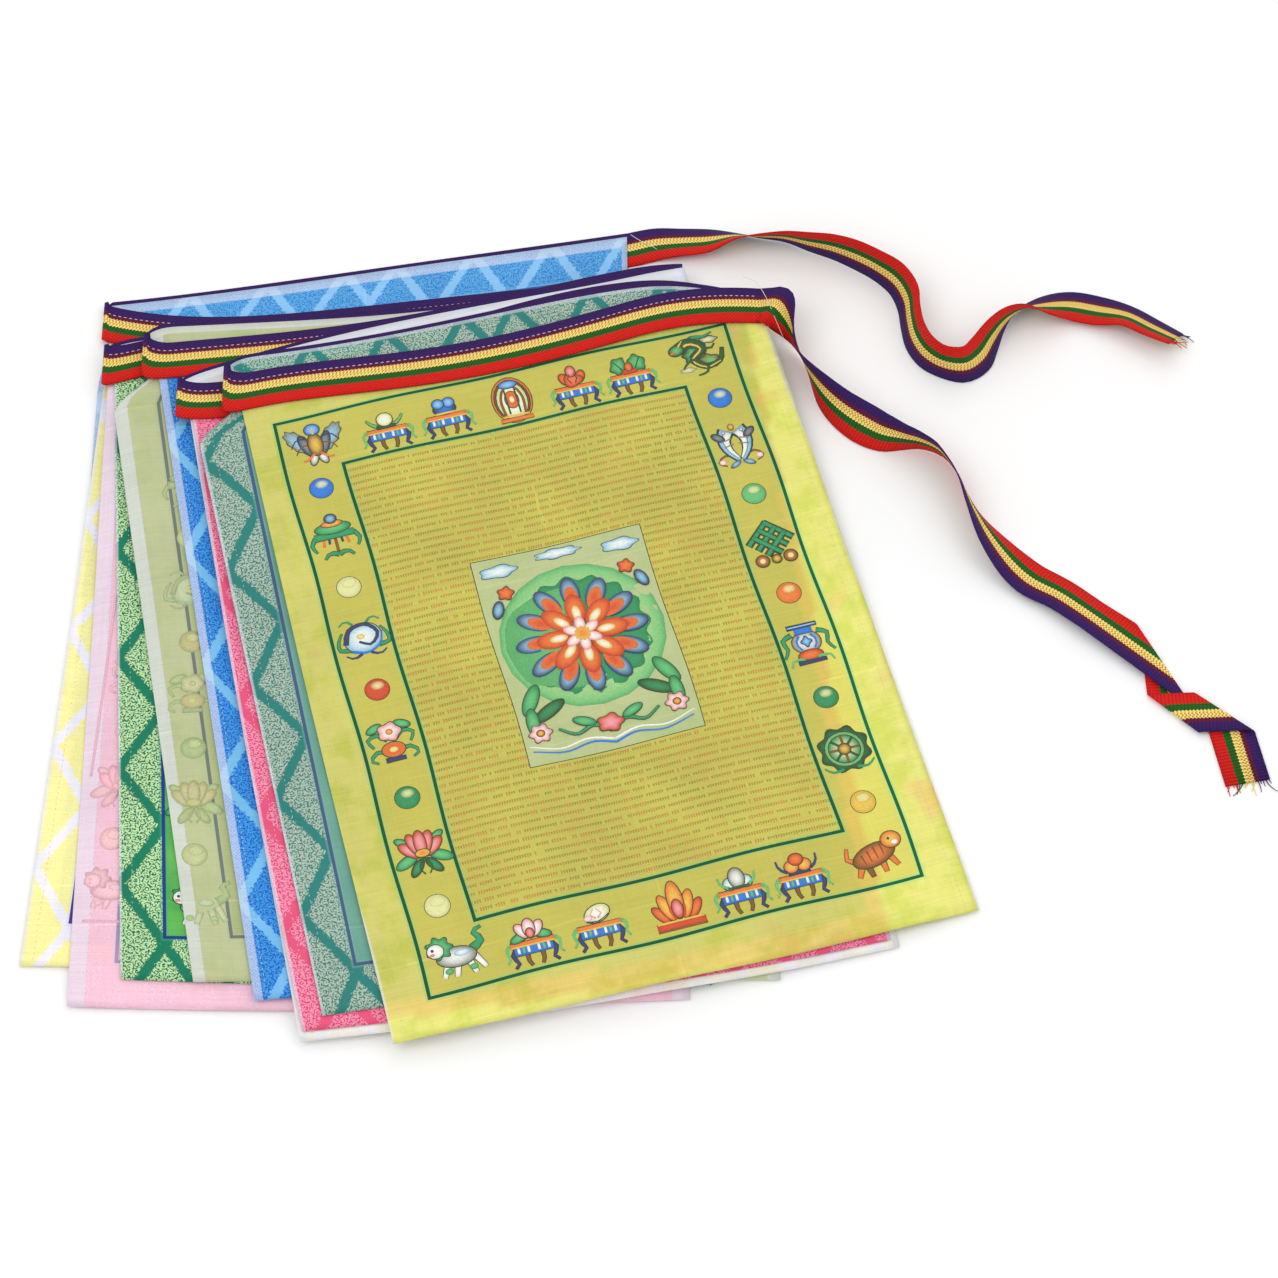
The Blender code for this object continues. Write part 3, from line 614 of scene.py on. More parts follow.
def bowed(start, end, bow, t):
    """The line from start to end, pushed out to the right of its way by bow times sin(pi t)."""
    start, end = np.array(start, float), np.array(end, float)
    along = end - start
    out = np.array((along[1], -along[0])) / np.hypot(*along)
    t = np.asarray(t, float)[:, None]
    return start + along * t + out * bow * np.sin(pi * t)


def flag_edges(number, u, v):
    """A flag's bottom and top edges at each u, and its left and right ones at each v."""
    flag, run = flags[number], runs[number]
    loose = number in (0, len(runs) - 1)
    left = run["left"] + (BACK_INSET if flag["face"] == "down" else CLOTH_INSET)
    right = run["right"] + (-CLOTH_SHORT if loose else CLOTH_LAP)
    top_x = left + (right - left) * u
    drop = HEM_STEP + (PEEP if flag["face"] == "down" else 0.0)
    top = np.column_stack((top_x, run_top(number, top_x) - drop))
    ends = np.array((left, right))
    corner = np.column_stack((ends, run_top(number, ends) - drop))
    low_left, low_right = (flag["bl_x"], flag["bl_y"]), (flag["br_x"], flag["br_y"])
    bottom = bowed(low_left, low_right, flag["bow_bottom"], u)
    right_side = bowed(low_right, corner[1], flag["bow_right"], v)
    left_side = bowed(corner[0], low_left, flag["bow_left"], 1.0 - v)
    peak = top_edge(run, run["left"]) - FLARE_DROP
    growth = np.clip((left_side[:, 1] - flag["bl_y"]) / (peak - flag["bl_y"]), 0.0, 1.0)
    left_side[:, 0] -= flag["flare"] * growth * ease((peak + FLARE_SPAN - left_side[:, 1]) / FLARE_SPAN)
    return bottom, top, left_side, right_side


def flag_place(number, u, v):
    """The flag's plan, rows of v by columns of u, as a Coons patch: the straight blend
    of bottom to top, plus that of left to right, less the blend of the four corners."""
    bottom, top, left, right = flag_edges(number, u, v)
    s, t = u[None, :, None], v[:, None, None]
    corners = ((1 - s) * (1 - t) * bottom[0] + s * (1 - t) * bottom[-1]
               + (1 - s) * t * top[0] + s * t * top[-1])
    return (1 - t) * bottom + t * top + (1 - s) * left[:, None] + s * right[:, None] - corners


def outline(number):
    """The flag's outline, anticlockwise."""
    share = np.linspace(0.0, 1.0, 25)
    bottom, top, left, right = flag_edges(number, share, share)
    return np.vstack((bottom[:-1], right[:-1], top[:0:-1], left[:0:-1]))


def edge_gaps(points, polygon):
    """Distance of each point from the polygon's edge, and whether it lies inside."""
    start, along = polygon, np.roll(polygon, -1, axis=0) - polygon
    along = np.where(np.abs(along) < 1e-9, 1e-9, along)
    offset = points[:, None, :] - start
    t = np.clip((offset * along).sum(2) / (along ** 2).sum(1), 0.0, 1.0)
    gap = np.linalg.norm(offset - t[..., None] * along, axis=2).min(axis=1)
    above = start[:, 1] > points[:, 1:2]
    crosses = above != (start[:, 1] + along[:, 1] > points[:, 1:2])
    cross_x = start[:, 0] + along[:, 0] * offset[..., 1] / along[:, 1]
    inside = (crosses & (points[:, 0:1] < cross_x)).sum(axis=1) % 2 == 1
    return gap, inside


def stack_heights():
    """Underside heights on the lattice, sheet by sheet from the surface up. A sheet adds
    one pitch to all above it inside its outline, easing to 0 a drape's length outside."""
    points = np.column_stack((grid_x.ravel(), grid_y.ravel()))
    body, zone = np.zeros_like(grid_x), np.zeros_like(lattice_x)
    heights = {}
    for number in reversed(range(len(flags))):
        polygon = outline(number)
        gap, inside = edge_gaps(points, polygon)
        cover = ease(1.0 - np.where(inside, 0.0, gap) / DRAPE).reshape(grid_x.shape)
        right = polygon[polygon[:, 1] > ZONE_REACH, 0].max()
        level = PITCH * ease(1.0 - (lattice_x - right) / DRAPE)
        for kind in ("flag", "tape") if flags[number]["face"] == "up" else ("tape", "flag"):
            if kind == "tape":
                heights[kind, number] = zone
            else:
                start = np.interp(number, (0, len(flags) - 1), RAMP_STARTS)
                rise = ease((grid_y - start) / (ZONE_START - start))
                heights[kind, number] = body * (1.0 - rise) + zone * rise
                body = body + PITCH * cover
            zone = zone + level
    return heights


def field_at(field, x, y):
    """A lattice field at any place."""
    i = np.clip((x - lattice_x[0]) / LATTICE, 0.0, len(lattice_x) - 1.001)
    j = np.clip((y - lattice_y[0]) / LATTICE, 0.0, len(lattice_y) - 1.001)
    return blend_grid(field, i, j)


def blend_grid(field, i, j):
    """A grid's values at part columns i and part rows j, by bilinear blending."""
    a, b = i.astype(int), j.astype(int)
    s, t = i - a, j - b
    low = field[b, a] * (1 - s) + field[b, a + 1] * s
    high = field[b + 1, a] * (1 - s) + field[b + 1, a + 1] * s
    return low * (1 - t) + high * t


def cloth_top(number, x, y):
    """Height of a flag's upper face: its layer of the stack, a long swell that grows
    towards the front flag, and a small ripple of its own."""
    swell = np.sin(x / 47.0 + 1.3) * np.sin(y / 61.0 + 0.4) + 0.6 * np.sin((x + 2 * y) / 83.0)
    own = np.sin(x / 19.0 + 2.1 * number) * np.sin(y / 43.0 + 1.7 * number)
    front = (len(flags) - number) / len(flags)
    middle = field_at(heights["flag", number], x, y) + CAD_THICK / 2
    if number == 0:
        free = np.sin(x / 15.0 - y / 31.0) * np.sin(y / 37.0 + 0.8) + np.sin((x + y) / 24.0)
        middle = middle + FREE_SWELL * (free + 1.2) * ease((105.0 - y) / 60.0)
    lift = corner_lift(number, x, y)
    return middle + SWELL * front * swell + RIPPLE * own + lift + thick_of("cloth_thick") / 2


def thick_of(name):
    """One of the size properties, in millimetres."""
    return getattr(bpy.context.scene.flag_sizes, name) / MM


def print_from_place(place):
    """Print coordinates of points on the front flag: each is carried along its line of
    sight onto the print's mean plane, and turned upright."""
    ray = (place[..., 2:] - PRINT_PLANE) / (CAMERA[2] - place[..., 2:])
    flat = place[..., :2] + (place[..., :2] - np.array(CAMERA[:2])) * ray
    return turned(flat, -PRINT_TURN)


def place_from_print(spot, lift):
    """Points on the front flag for print coordinates, the same way back, found by
    stepping the height three times."""
    flat = turned(spot, PRINT_TURN)
    x, y = flat[:, 0], flat[:, 1]
    for _ in range(3):
        z = cloth_top(0, x, y)
        share = (z - PRINT_PLANE) / (CAMERA[2] - PRINT_PLANE)
        x = flat[:, 0] + (CAMERA[0] - flat[:, 0]) * share
        y = flat[:, 1] + (CAMERA[1] - flat[:, 1]) * share
    return np.column_stack((x, y, z + lift))


def grid_faces(rows, columns, closed=False):
    """Quads of a grid of points, wound to face up where rows go up and columns right."""
    i, j = np.meshgrid(np.arange(rows - 1), np.arange(columns - (not closed)), indexing="ij")
    a, b = i * columns + j, i * columns + (j + 1) % columns
    return np.stack((a, b, b + columns, a + columns), axis=-1).reshape(-1, 4)


def make_piece(name, points, faces, finish, flat=None, tints=None):
    """A smooth mesh from point and face arrays, with its UV map in metres and its
    point colours. points are in millimetres."""
    mesh = bpy.data.meshes.new(name)
    faces = faces.tolist() if hasattr(faces, "tolist") else faces
    mesh.from_pydata((np.asarray(points) * MM).tolist(), [], faces)
    corner = np.zeros(len(mesh.loops), np.int32)
    mesh.loops.foreach_get("vertex_index", corner)
    if flat is not None:
        layer = mesh.uv_layers.new(name="flat")
        layer.data.foreach_set("uv", (np.asarray(flat)[corner] * MM).astype(np.float32).ravel())
    for label, values in (tints or {}).items():
        layer = mesh.color_attributes.new(label, "FLOAT_COLOR", "POINT")
        full = np.column_stack((values, np.ones(len(values)))).astype(np.float32)
        layer.data.foreach_set("color", full.ravel())
    mesh.polygons.foreach_set("use_smooth", np.ones(len(mesh.polygons), bool))
    mesh.materials.append(finish)
    mesh.update()
    piece = bpy.data.objects.new(name, mesh)
    bpy.context.scene.collection.objects.link(piece)
    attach(piece, "root")
    return piece


def thicken(piece, thickness, offset):
    """Gives a sheet its thickness."""
    shell = piece.modifiers.new("thickness", "SOLIDIFY")
    shell.thickness = thickness * MM
    shell.offset = offset
    return piece


class Wiring:
    """Short calls for one shader node tree. add, less, times, times_add, size and sine work
    on values: sum, difference, product, product and sum, amount without sign, and sine."""

    def __init__(self, tree):
        self.tree = tree

    def node(self, kind, **settings):
        made = self.tree.nodes.new(kind)
        for name, value in settings.items():
            setattr(made, name, value)
        return made

    def feed(self, socket, value):
        if isinstance(value, bpy.types.NodeSocket):
            self.tree.links.new(value, socket)
        elif hasattr(value, "__len__") and len(value) == 3 and socket.type == "RGBA":
            socket.default_value = (*value, 1.0)
        else:
            socket.default_value = value

    def math(self, operation, *values):
        made = self.node("ShaderNodeMath", operation=operation)
        for socket, value in zip(made.inputs, values):
            self.feed(socket, value)
        return made.outputs[0]

    def add(self, first, second):
        return self.math("ADD", first, second)

    def less(self, first, second):
        return self.math("SUBTRACT", first, second)

    def times(self, first, second):
        return self.math("MULTIPLY", first, second)

    def times_add(self, first, second, third):
        return self.math("MULTIPLY_ADD", first, second, third)

    def size(self, value):
        return self.math("ABSOLUTE", value)

    def sine(self, value):
        return self.math("SINE", value)

    def vector(self, operation, first, second):
        made = self.node("ShaderNodeVectorMath", operation=operation)
        self.feed(made.inputs[0], first)
        self.feed(made.inputs[1], second)
        return made.outputs[0]

    def split(self, vector):
        made = self.node("ShaderNodeSeparateXYZ")
        self.feed(made.inputs[0], vector)
        return made.outputs[0], made.outputs[1]

    def join(self, x, y, z=0.0):
        made = self.node("ShaderNodeCombineXYZ")
        for socket, value in zip(made.inputs, (x, y, z)):
            self.feed(socket, value)
        return made.outputs[0]

    def step(self, value, low, high):
        """0 at low and 1 at high, eased; low may be the larger."""
        made = self.node("ShaderNodeMapRange", interpolation_type="SMOOTHSTEP")
        for index, given in enumerate((value, low, high)):
            self.feed(made.inputs[index], given)
        return made.outputs[0]

    def mix(self, factor, first, second, blend="MIX"):
        made = self.node("ShaderNodeMix", data_type="RGBA", blend_type=blend)
        for index, given in ((0, factor), (6, first), (7, second)):
            self.feed(made.inputs[index], given)
        return made.outputs[2]

    def noise(self, place, scale, detail=2.0, roughness=0.5):
        made = self.node("ShaderNodeTexNoise")
        for name, given in (("Vector", place), ("Scale", scale), ("Detail", detail),
                            ("Roughness", roughness)):
            self.feed(made.inputs[name], given)
        return made.outputs["Fac"]

    def group(self, name, **inputs):
        made = self.node("ShaderNodeGroup", node_tree=node_group(name))
        for label, given in inputs.items():
            self.feed(made.inputs[label.replace("_", " ")], given)
        return made.outputs


def node_group(name):
    """One of the shader node groups, built once from its row in GROUPS."""
    if name in bpy.data.node_groups:
        return bpy.data.node_groups[name]
    build, floats, outputs = GROUPS[name]
    tree = bpy.data.node_groups.new(name, "ShaderNodeTree")
    tree.interface.new_socket("Place", in_out="INPUT", socket_type="NodeSocketVector")
    for labels, way in ((floats, "INPUT"), (outputs, "OUTPUT")):
        for label in labels:
            tree.interface.new_socket(label, in_out=way, socket_type="NodeSocketFloat")
    wiring = Wiring(tree)
    given = wiring.node("NodeGroupInput").outputs
    results = build(wiring, *[given[label] for label in ("Place",) + floats])
    sink = wiring.node("NodeGroupOutput")
    for socket, result in zip(sink.inputs, results):
        wiring.feed(socket, result)
    return tree


def build_weave(w, place, pitch):
    """Plain weave: threads go over and under as sin(x) sin(y), with long uneven slubs."""
    x, y = w.split(place)
    across = w.sine(w.math("DIVIDE", w.times(x, pi), pitch))
    along = w.sine(w.math("DIVIDE", w.times(y, pi), pitch))
    over = w.times_add(w.times(across, along), 0.5, 0.5)
    weft = w.noise(w.vector("MULTIPLY", place, (0.025, 1.1, 1.0)), 1.0, 3.0)
    warp = w.noise(w.vector("MULTIPLY", place, (1.1, 0.025, 1.0)), 1.0, 3.0)
    slub = w.times_add(weft, 0.65, w.times(warp, 0.35))
    return w.times_add(over, 0.35, slub), slub


def build_creases(w, place):
    """Soft creases of a sheet that was folded flat: three across and one down, broken up
    by noise, over a faint crumple."""
    x, y = w.split(place)
    crumple = w.noise(place, 0.022, 4.0, 0.55)
    wander = w.times_add(w.noise(place, 0.03), 5.0, y)
    fold = w.math("PINGPONG", w.add(wander, FAR), FOLD_PITCH)
    across = w.step(fold, 1.6, 0.0)
    down = w.step(w.size(w.times_add(crumple, 4.0, x)), 1.6, 0.0)
    ridge = w.times(w.math("MAXIMUM", across, down), w.step(crumple, 0.35, 0.65))
    return w.times_add(crumple, 1.0, w.times(ridge, 0.12)), ridge


def build_layout(w, place, cloth_width, outer_width, outer_height, inner_width, inner_height,
                 line, hem, picture_width, picture_height, cloth_height, margin):
    """Masks of the print, each from the distance outside a centred rectangle: the larger
    of |x| less half its width and |y| less half its height."""
    along_x, along_y = w.split(place)
    x, y = w.size(along_x), w.size(along_y)

    def outside(width, height, rise):
        over_x = w.times_add(width, -0.5, x)
        over_y = w.times_add(height, -0.5, rise)
        return w.math("MAXIMUM", over_x, over_y)

    outer, inner = outside(outer_width, outer_height, y), outside(inner_width, inner_height, y)
    lowered = w.size(w.add(along_y, PICTURE_DROP))
    picture = outside(picture_width, picture_height, lowered)
    nearest = w.math("MINIMUM", w.size(outer), w.size(inner))
    half = w.times(line, 0.5)
    lines = w.step(nearest, w.add(half, 0.12), w.less(half, 0.12))
    halo = w.step(nearest, w.add(half, 1.5), w.add(half, 0.5))
    edge = w.times_add(cloth_width, 0.5, w.times(x, -1.0))
    turned = w.step(edge, w.add(hem, 0.35), w.less(hem, 0.35))
    top = w.times_add(cloth_height, 0.5, w.times(along_y, -1.0))
    bare = w.step(top, w.add(margin, 0.5), w.less(margin, 0.5))
    turned = w.math("MAXIMUM", turned, bare)
    rim = w.step(w.size(picture), 0.55, 0.25)
    return (w.step(outer, 0.1, -0.1), w.step(inner, 0.1, -0.1), lines, halo, turned,
            w.step(picture, 0.1, -0.1), rim)


def build_brocade(w, place, lattice_width, lattice_height, frame_width):
    """A diamond lattice, where x and y over its sizes add or subtract to a whole number,
    with small round flowers between: rings about the middles of scattered cells."""
    x, y = w.split(place)
    beyond = w.times_add(frame_width, -0.5, w.size(x))
    p = w.math("DIVIDE", beyond, lattice_width)
    q = w.math("DIVIDE", w.less(y, DIAMOND_RISE), lattice_height)
    ragged = w.times_add(w.noise(place, 0.6, 2.0), 0.13, -0.065)
    bars = []
    for operation in ("ADD", "SUBTRACT"):
        wave = w.add(w.math(operation, p, q), 0.1 * FAR)
        bars.append(w.add(w.math("PINGPONG", wave, 0.5), ragged))
    nearest = w.math("MINIMUM", *bars)
    cells = w.node("ShaderNodeTexVoronoi", feature="F1", voronoi_dimensions="2D")
    w.feed(cells.inputs["Vector"], place)
    w.feed(cells.inputs["Scale"], 0.24)
    w.feed(cells.inputs["Randomness"], 0.55)
    rings = w.sine(w.times(cells.outputs["Distance"], 23.0))
    petals = w.noise(place, 0.85, 2.0, 0.6)
    flower = w.times_add(rings, 0.075, petals)
    return w.step(nearest, 0.078, 0.058), w.step(flower, 0.45, 0.5)


def build_rows(w, place, pitch):
    """Rows of plain ticks: each row is cut into cells, and a random number by cell says
    whether it holds a tick, how long it is and its tone."""
    x, y = w.split(place)
    line = w.math("DIVIDE", w.add(y, FAR), pitch)
    row = w.math("FLOOR", line)
    run = w.times_add(row, 0.37, w.math("DIVIDE", x, TICK))
    cell = w.math("FLOOR", run)
    chance = w.node("ShaderNodeTexWhiteNoise", noise_dimensions="2D")
    w.feed(chance.inputs["Vector"], w.join(cell, row))
    first, second = w.split(chance.outputs["Color"])
    rise = w.less(line, row)
    reach = w.times_add(first, 0.14, 0.1)
    tall = w.step(w.size(w.less(rise, 0.5)), w.add(reach, 0.05), reach)
    side = w.size(w.less(w.less(run, cell), 0.5))
    wide = w.step(side, 0.34, 0.2)
    there = w.math("GREATER_THAN", second, 0.1)
    head = w.step(w.size(w.less(rise, 0.62)), 0.07, 0.02)
    tick = w.math("MAXIMUM", w.times(tall, wide), w.times(head, 0.6))
    return w.times(tick, there), first


# The shader groups: their function, inputs besides the place, and outputs
GROUPS = {
    "woven threads": (build_weave, ("Pitch",), ("Height", "Slub")),
    "flat creases": (build_creases, (), ("Height", "Ridge")),
    "print layout": (build_layout, ("Cloth width", "Outer width", "Outer height", "Inner width",
                                    "Inner height", "Line", "Hem", "Picture width",
                                    "Picture height", "Cloth height", "Margin"),
                     ("Band", "Field", "Lines", "Halo", "Hem", "Picture", "Rim")),
    "brocade border": (build_brocade, ("Lattice width", "Lattice height", "Frame width"),
                       ("Bands", "Flowers")),
    "rows of ticks": (build_rows, ("Pitch",), ("Ink", "Tone")),
}


def new_finish(name, roughness):
    """A material with a matte shader, and its wiring."""
    finish = bpy.data.materials.new(name)
    finish.use_nodes = True
    w = Wiring(finish.node_tree)
    shader = finish.node_tree.nodes["Principled BSDF"]
    shader.inputs["Roughness"].default_value = roughness
    shader.inputs["Specular IOR Level"].default_value = 0.25
    return finish, w, shader


def paint(w, shader, tint, shade):
    """Colours the surface with a tint, darkened by a shade."""
    w.feed(shader.inputs["Base Color"], w.mix(1.0, tint, w.join(shade, shade, shade), "MULTIPLY"))


def place_in_mm(w):
    """The piece's flat place, in millimetres."""
    spot = w.node("ShaderNodeUVMap", uv_map="flat")
    return w.vector("MULTIPLY", spot.outputs["UV"], (1.0 / MM, 1.0 / MM, 1.0))


def bump(w, shader, height, distance, strength):
    """Lifts the surface by a height, distance in millimetres."""
    made = w.node("ShaderNodeBump")
    w.feed(made.inputs["Height"], height)
    made.inputs["Distance"].default_value = distance * MM
    made.inputs["Strength"].default_value = strength
    w.feed(shader.inputs["Normal"], made.outputs["Normal"])


def cloth_inks(number):
    """The print's colours on the side of a flag that shows."""
    flag = flags[number]
    inks = PRINTS["%s %s" % (flag["colour"], flag["face"])]
    return {key: linear(*value) for key, value in zip(PRINT_COLUMNS, inks)}


def cloth_finish(number):
    """Printed cloth: brocade border, frame lines, motif band, field of ticks, panel and hem, with
    the sheets beneath darkening it as through sheer cloth, and painted shading of its creases."""
    flag = flags[number]
    sizes = bpy.context.scene.flag_sizes
    inks = cloth_inks(number)
    finish, w, shader = new_finish("cloth_%02d_%s" % (number + 1, flag["colour"]), 0.72)
    shader.inputs["Sheen Weight"].default_value = 0.1
    place = place_in_mm(w)
    layout = w.group("print layout", Place=place, Cloth_width=sizes.cloth_width / MM,
                     Outer_width=sizes.outer_width / MM, Outer_height=sizes.outer_height / MM,
                     Inner_width=sizes.inner_width / MM, Inner_height=sizes.inner_height / MM,
                     Line=sizes.frame_line / MM, Hem=flag["hem"], Margin=flag["margin"],
                     Picture_width=sizes.picture_width / MM, Cloth_height=sizes.cloth_height / MM,
                     Picture_height=sizes.picture_height / MM)
    threads = w.group("woven threads", Place=place, Pitch=WEAVE_PITCH)
    creases = w.group("flat creases", Place=place)
    mottle = w.noise(place, 0.045, 4.0, 0.6)
    if flag["colour"] == "yellow":
        border = w.mix(w.step(mottle, 0.42, 0.66), inks["ground"], inks["flowers"])
        blush = w.step(w.noise(place, 0.028, 1.0), 0.6, 0.74)
        border = w.mix(w.times(blush, 0.6), border, inks["bands"])
    else:
        brocade = w.group("brocade border", Place=place, Lattice_width=DIAMOND[0],
                          Lattice_height=DIAMOND[1], Frame_width=sizes.outer_width / MM)
        border = w.mix(brocade["Flowers"], inks["ground"], inks["flowers"])
        border = w.mix(brocade["Bands"], border, inks["bands"])
    rows = w.group("rows of ticks", Place=place, Pitch=sizes.row_pitch / MM)
    patches = w.times_add(rows["Tone"], 0.4, w.noise(place, 0.035, 3.0))
    tick = w.mix(w.step(patches, 0.62, 0.82), linear(128, 110, 40), linear(214, 112, 62))
    field = w.mix(w.step(w.noise(place, 0.02, 2.0), 0.35, 0.65), inks["field"], inks["band"])
    field = w.mix(w.times(rows["Ink"], 0.62), field, tick)
    tint = w.mix(layout["Band"], border, w.mix(w.step(mottle, 0.3, 0.75), inks["band"], inks["field"]))
    tint = w.mix(layout["Field"], tint, field)
    tint = w.mix(w.times(layout["Halo"], 0.45), tint, inks["halo"])
    tint = w.mix(layout["Lines"], tint, inks["line"])
    sky = w.mix(w.step(mottle, 0.35, 0.7), linear(214, 224, 166), linear(196, 216, 150))
    tint = w.mix(layout["Picture"], tint, w.mix(layout["Rim"], sky, linear(40, 60, 40)))
    below = w.node("ShaderNodeVertexColor", layer_name="beneath").outputs["Color"]
    tint = w.mix(flag["sheer"], tint, below, "MULTIPLY")
    if flag["hem"]:
        x, y = w.split(w.vector("MULTIPLY", place, (pi / 0.9, pi / 0.9, 1.0)))
        dots = w.step(w.times(w.sine(x), w.sine(y)), 0.1, 0.6)
        opaque = w.times(layout["Hem"], w.times_add(dots, -0.2, 0.54))
        tint = w.mix(opaque, tint, linear(220, 224, 237))
    # Random slub tone of the threads, and painted shading: fold ridges painted lighter, and the crumple
    # painted lighter on its rises and darker in its hollows.
    tone_and_painted_shading = w.times_add(threads["Slub"], 0.34, 0.81)
    tone_and_painted_shading = w.times_add(creases["Ridge"], 0.1, tone_and_painted_shading)
    tone_and_painted_shading = w.times_add(w.less(creases["Height"], 0.5), 0.28, tone_and_painted_shading)
    paint(w, shader, tint, tone_and_painted_shading)
    height = w.times_add(creases["Height"], 14.0, w.times(threads["Height"], 0.25))
    height = w.times_add(layout["Hem"], 0.35, height)
    bump(w, shader, height, 0.5, 0.55)
    return finish


def tape_finish():
    """Woven tape: five stripes across, warp ribs along, and orange flecks on the yellow, with painted shade
    in the grooves between its ribs and cords.
    """
    colours = bpy.context.scene.flag_colours
    finish, w, shader = new_finish("woven_tape", 0.78)
    place = place_in_mm(w)
    along, across = w.split(place)
    zigzag = w.math("PINGPONG", w.add(along, 5.0 * FAR), TOOTH[0])
    edge = w.times_add(zigzag, TOOTH[1], across)
    tint = tuple(colours.tape_red)
    for label, start in STRIPES[1:]:
        tint = w.mix(w.step(edge, start, start + 0.25), tint, tuple(getattr(colours, label)))
    fleck = w.times(w.sine(w.times(along, pi / FLECK[0])), w.sine(w.times(across, pi / FLECK[1])))
    on_yellow = w.times(w.step(across, *FLECKED[0]), w.step(across, *FLECKED[1]))
    fleck_mask = w.times(w.step(fleck, 0.2, 0.6), on_yellow)
    tint = w.mix(fleck_mask, tint, linear(190, 96, 40))
    ribs = w.size(w.sine(w.times(along, pi / RIB)))
    cords = w.size(w.sine(w.times(across, pi / CORD)))
    relief = w.times_add(ribs, 0.6, w.times(cords, 0.4))
    uneven = w.noise(place, 0.6, 3.0)
    # Painted shade in the grooves between the ribs and cords, over a random uneven tone.
    tone_and_painted_shading = w.times_add(relief, 0.7, w.times_add(uneven, 0.35, 0.28))
    paint(w, shader, tint, tone_and_painted_shading)
    bump(w, shader, relief, 0.35, 0.8)
    return finish


def ink_finish():
    """Printed ink, coloured point by point, a little uneven as ink on cloth is."""
    if "printed_ink" in bpy.data.materials:
        return bpy.data.materials["printed_ink"]
    finish, w, shader = new_finish("printed_ink", 0.72)
    ink = w.node("ShaderNodeVertexColor", layer_name="ink").outputs["Color"]
    spot = w.node("ShaderNodeTexCoord").outputs["Object"]
    grain = w.times_add(w.noise(spot, 900.0, 3.0, 0.6), 0.5, 0.74)
    paint(w, shader, ink, grain)
    bump(w, shader, grain, 0.1, 0.3)
    return finish


def thread_finish():
    """Sewing thread, twisted."""
    finish, w, shader = new_finish("sewing_thread", 0.6)
    spot = w.node("ShaderNodeTexCoord").outputs["Object"]
    twist = w.noise(spot, 1500.0, 2.0)
    shade = tuple(bpy.context.scene.flag_colours.thread)
    dark = tuple(0.6 * value for value in shade)
    w.feed(shader.inputs["Base Color"], w.mix(twist, dark, shade))
    bump(w, shader, twist, 0.1, 0.4)
    return finish


def fray_finish():
    """Loose yarn ends, in the colour of their own stripe."""
    finish, w, shader = new_finish("frayed_yarn", 0.8)
    ink = w.node("ShaderNodeVertexColor", layer_name="ink").outputs["Color"]
    spot = w.node("ShaderNodeTexCoord").outputs["Object"]
    shade = w.times_add(w.noise(spot, 1200.0, 2.0), 0.6, 0.6)
    paint(w, shader, ink, shade)
    return finish


def seen_beneath(number, points):
    """The colour under a flag at each point: the surface, then each lower flag laid over
    it inside its outline."""
    colours = bpy.context.scene.flag_colours
    seen = np.tile(linear(246, 246, 246), (len(points), 1))
    for lower in reversed(range(number + 1, len(flags))):
        inside = edge_gaps(points, outline(lower))[1][:, None]
        flowers = np.array(cloth_inks(lower)["flowers"])
        own = 0.6 * np.array(getattr(colours, flags[lower]["colour"])) + 0.4 * flowers
        seen = np.where(inside, (1.0 - VEIL) * seen + VEIL * own, seen)
    return seen


def add_flag(number, spacing):
    """One flag's cloth: a thin sheet over its plan, at its layer's height."""
    width, height = thick_of("cloth_width"), thick_of("cloth_height")
    u = np.linspace(0.0, 1.0, int(round(width / spacing)) + 1)
    u = np.concatenate((u[3] * np.linspace(0.0, 1.0, CORNER_STEPS) ** 2, u[4:]))
    v = np.linspace(0.0, 1.0, int(round(height / spacing)) + 1)
    plan = flag_place(number, u, v).reshape(-1, 2)
    points = np.column_stack((plan, cloth_top(number, plan[:, 0], plan[:, 1])))
    if number == 0:
        flat = print_from_place(points)
        flat = flat + WARP * np.sin(flat[:, ::-1] / 17.0 + np.array((0.4, 2.0)))
    else:
        across, up = np.meshgrid((u - 0.5) * width, (v - 0.5) * height)
        flat = np.column_stack((across.ravel(), up.ravel()))
    name = "flag_%02d_%s" % (number + 1, flags[number]["colour"])
    cloth = make_piece("cloth_" + name, points, grid_faces(len(v), len(u)), cloth_finish(number),
                       flat, {"beneath": seen_beneath(number, plan)})
    thicken(cloth, thick_of("cloth_thick"), -1.0)
    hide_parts(name)
    return cloth


def run_edges(number):
    """A run's purple and red edges, left to right: the top edge, and one a tape's width
    lower, square to the run."""
    run = runs[number]
    left, near = run["left"], run["left"] + CORNER_REACH[1]
    count = int((run["right"] - near) / RUN_STEP)
    x = np.concatenate((left + CORNER_REACH[1] * np.linspace(0.0, 1.0, CORNER_STEPS) ** 2,
                        np.linspace(near, run["right"], count + 1)[1:]))
    y = top_edge(run, x)
    z = np.interp(x, lattice_x, heights["tape", number]) + CAD_THICK / 2
    drop = thick_of("tape_width") * np.hypot(1.0, np.gradient(y, x))
    pull = 0.3 * corner_pull(number) * corner_share(number, x)
    top = run_top(number, x)
    return (np.column_stack((x, top, z + corner_lift(number, x, top))),
            np.column_stack((x, y - drop + pull, z)))


def turn_edges(upper, lower, side):
    """A half turn between two runs: the ends blend as (1 - cos a) / 2, and swell out by
    half the height between them times sin a."""
    angle = np.linspace(0.0, pi, ARC_STEPS + 1)[1:-1, None]
    share = (1.0 - np.cos(angle)) / 2
    edges = []
    for a, b in zip(upper, lower):
        path = a + (b - a) * share
        path[:, 0:1] += side * abs(a[2] - b[2]) / 2 * np.sin(angle)
        edges.append(path)
    return edges


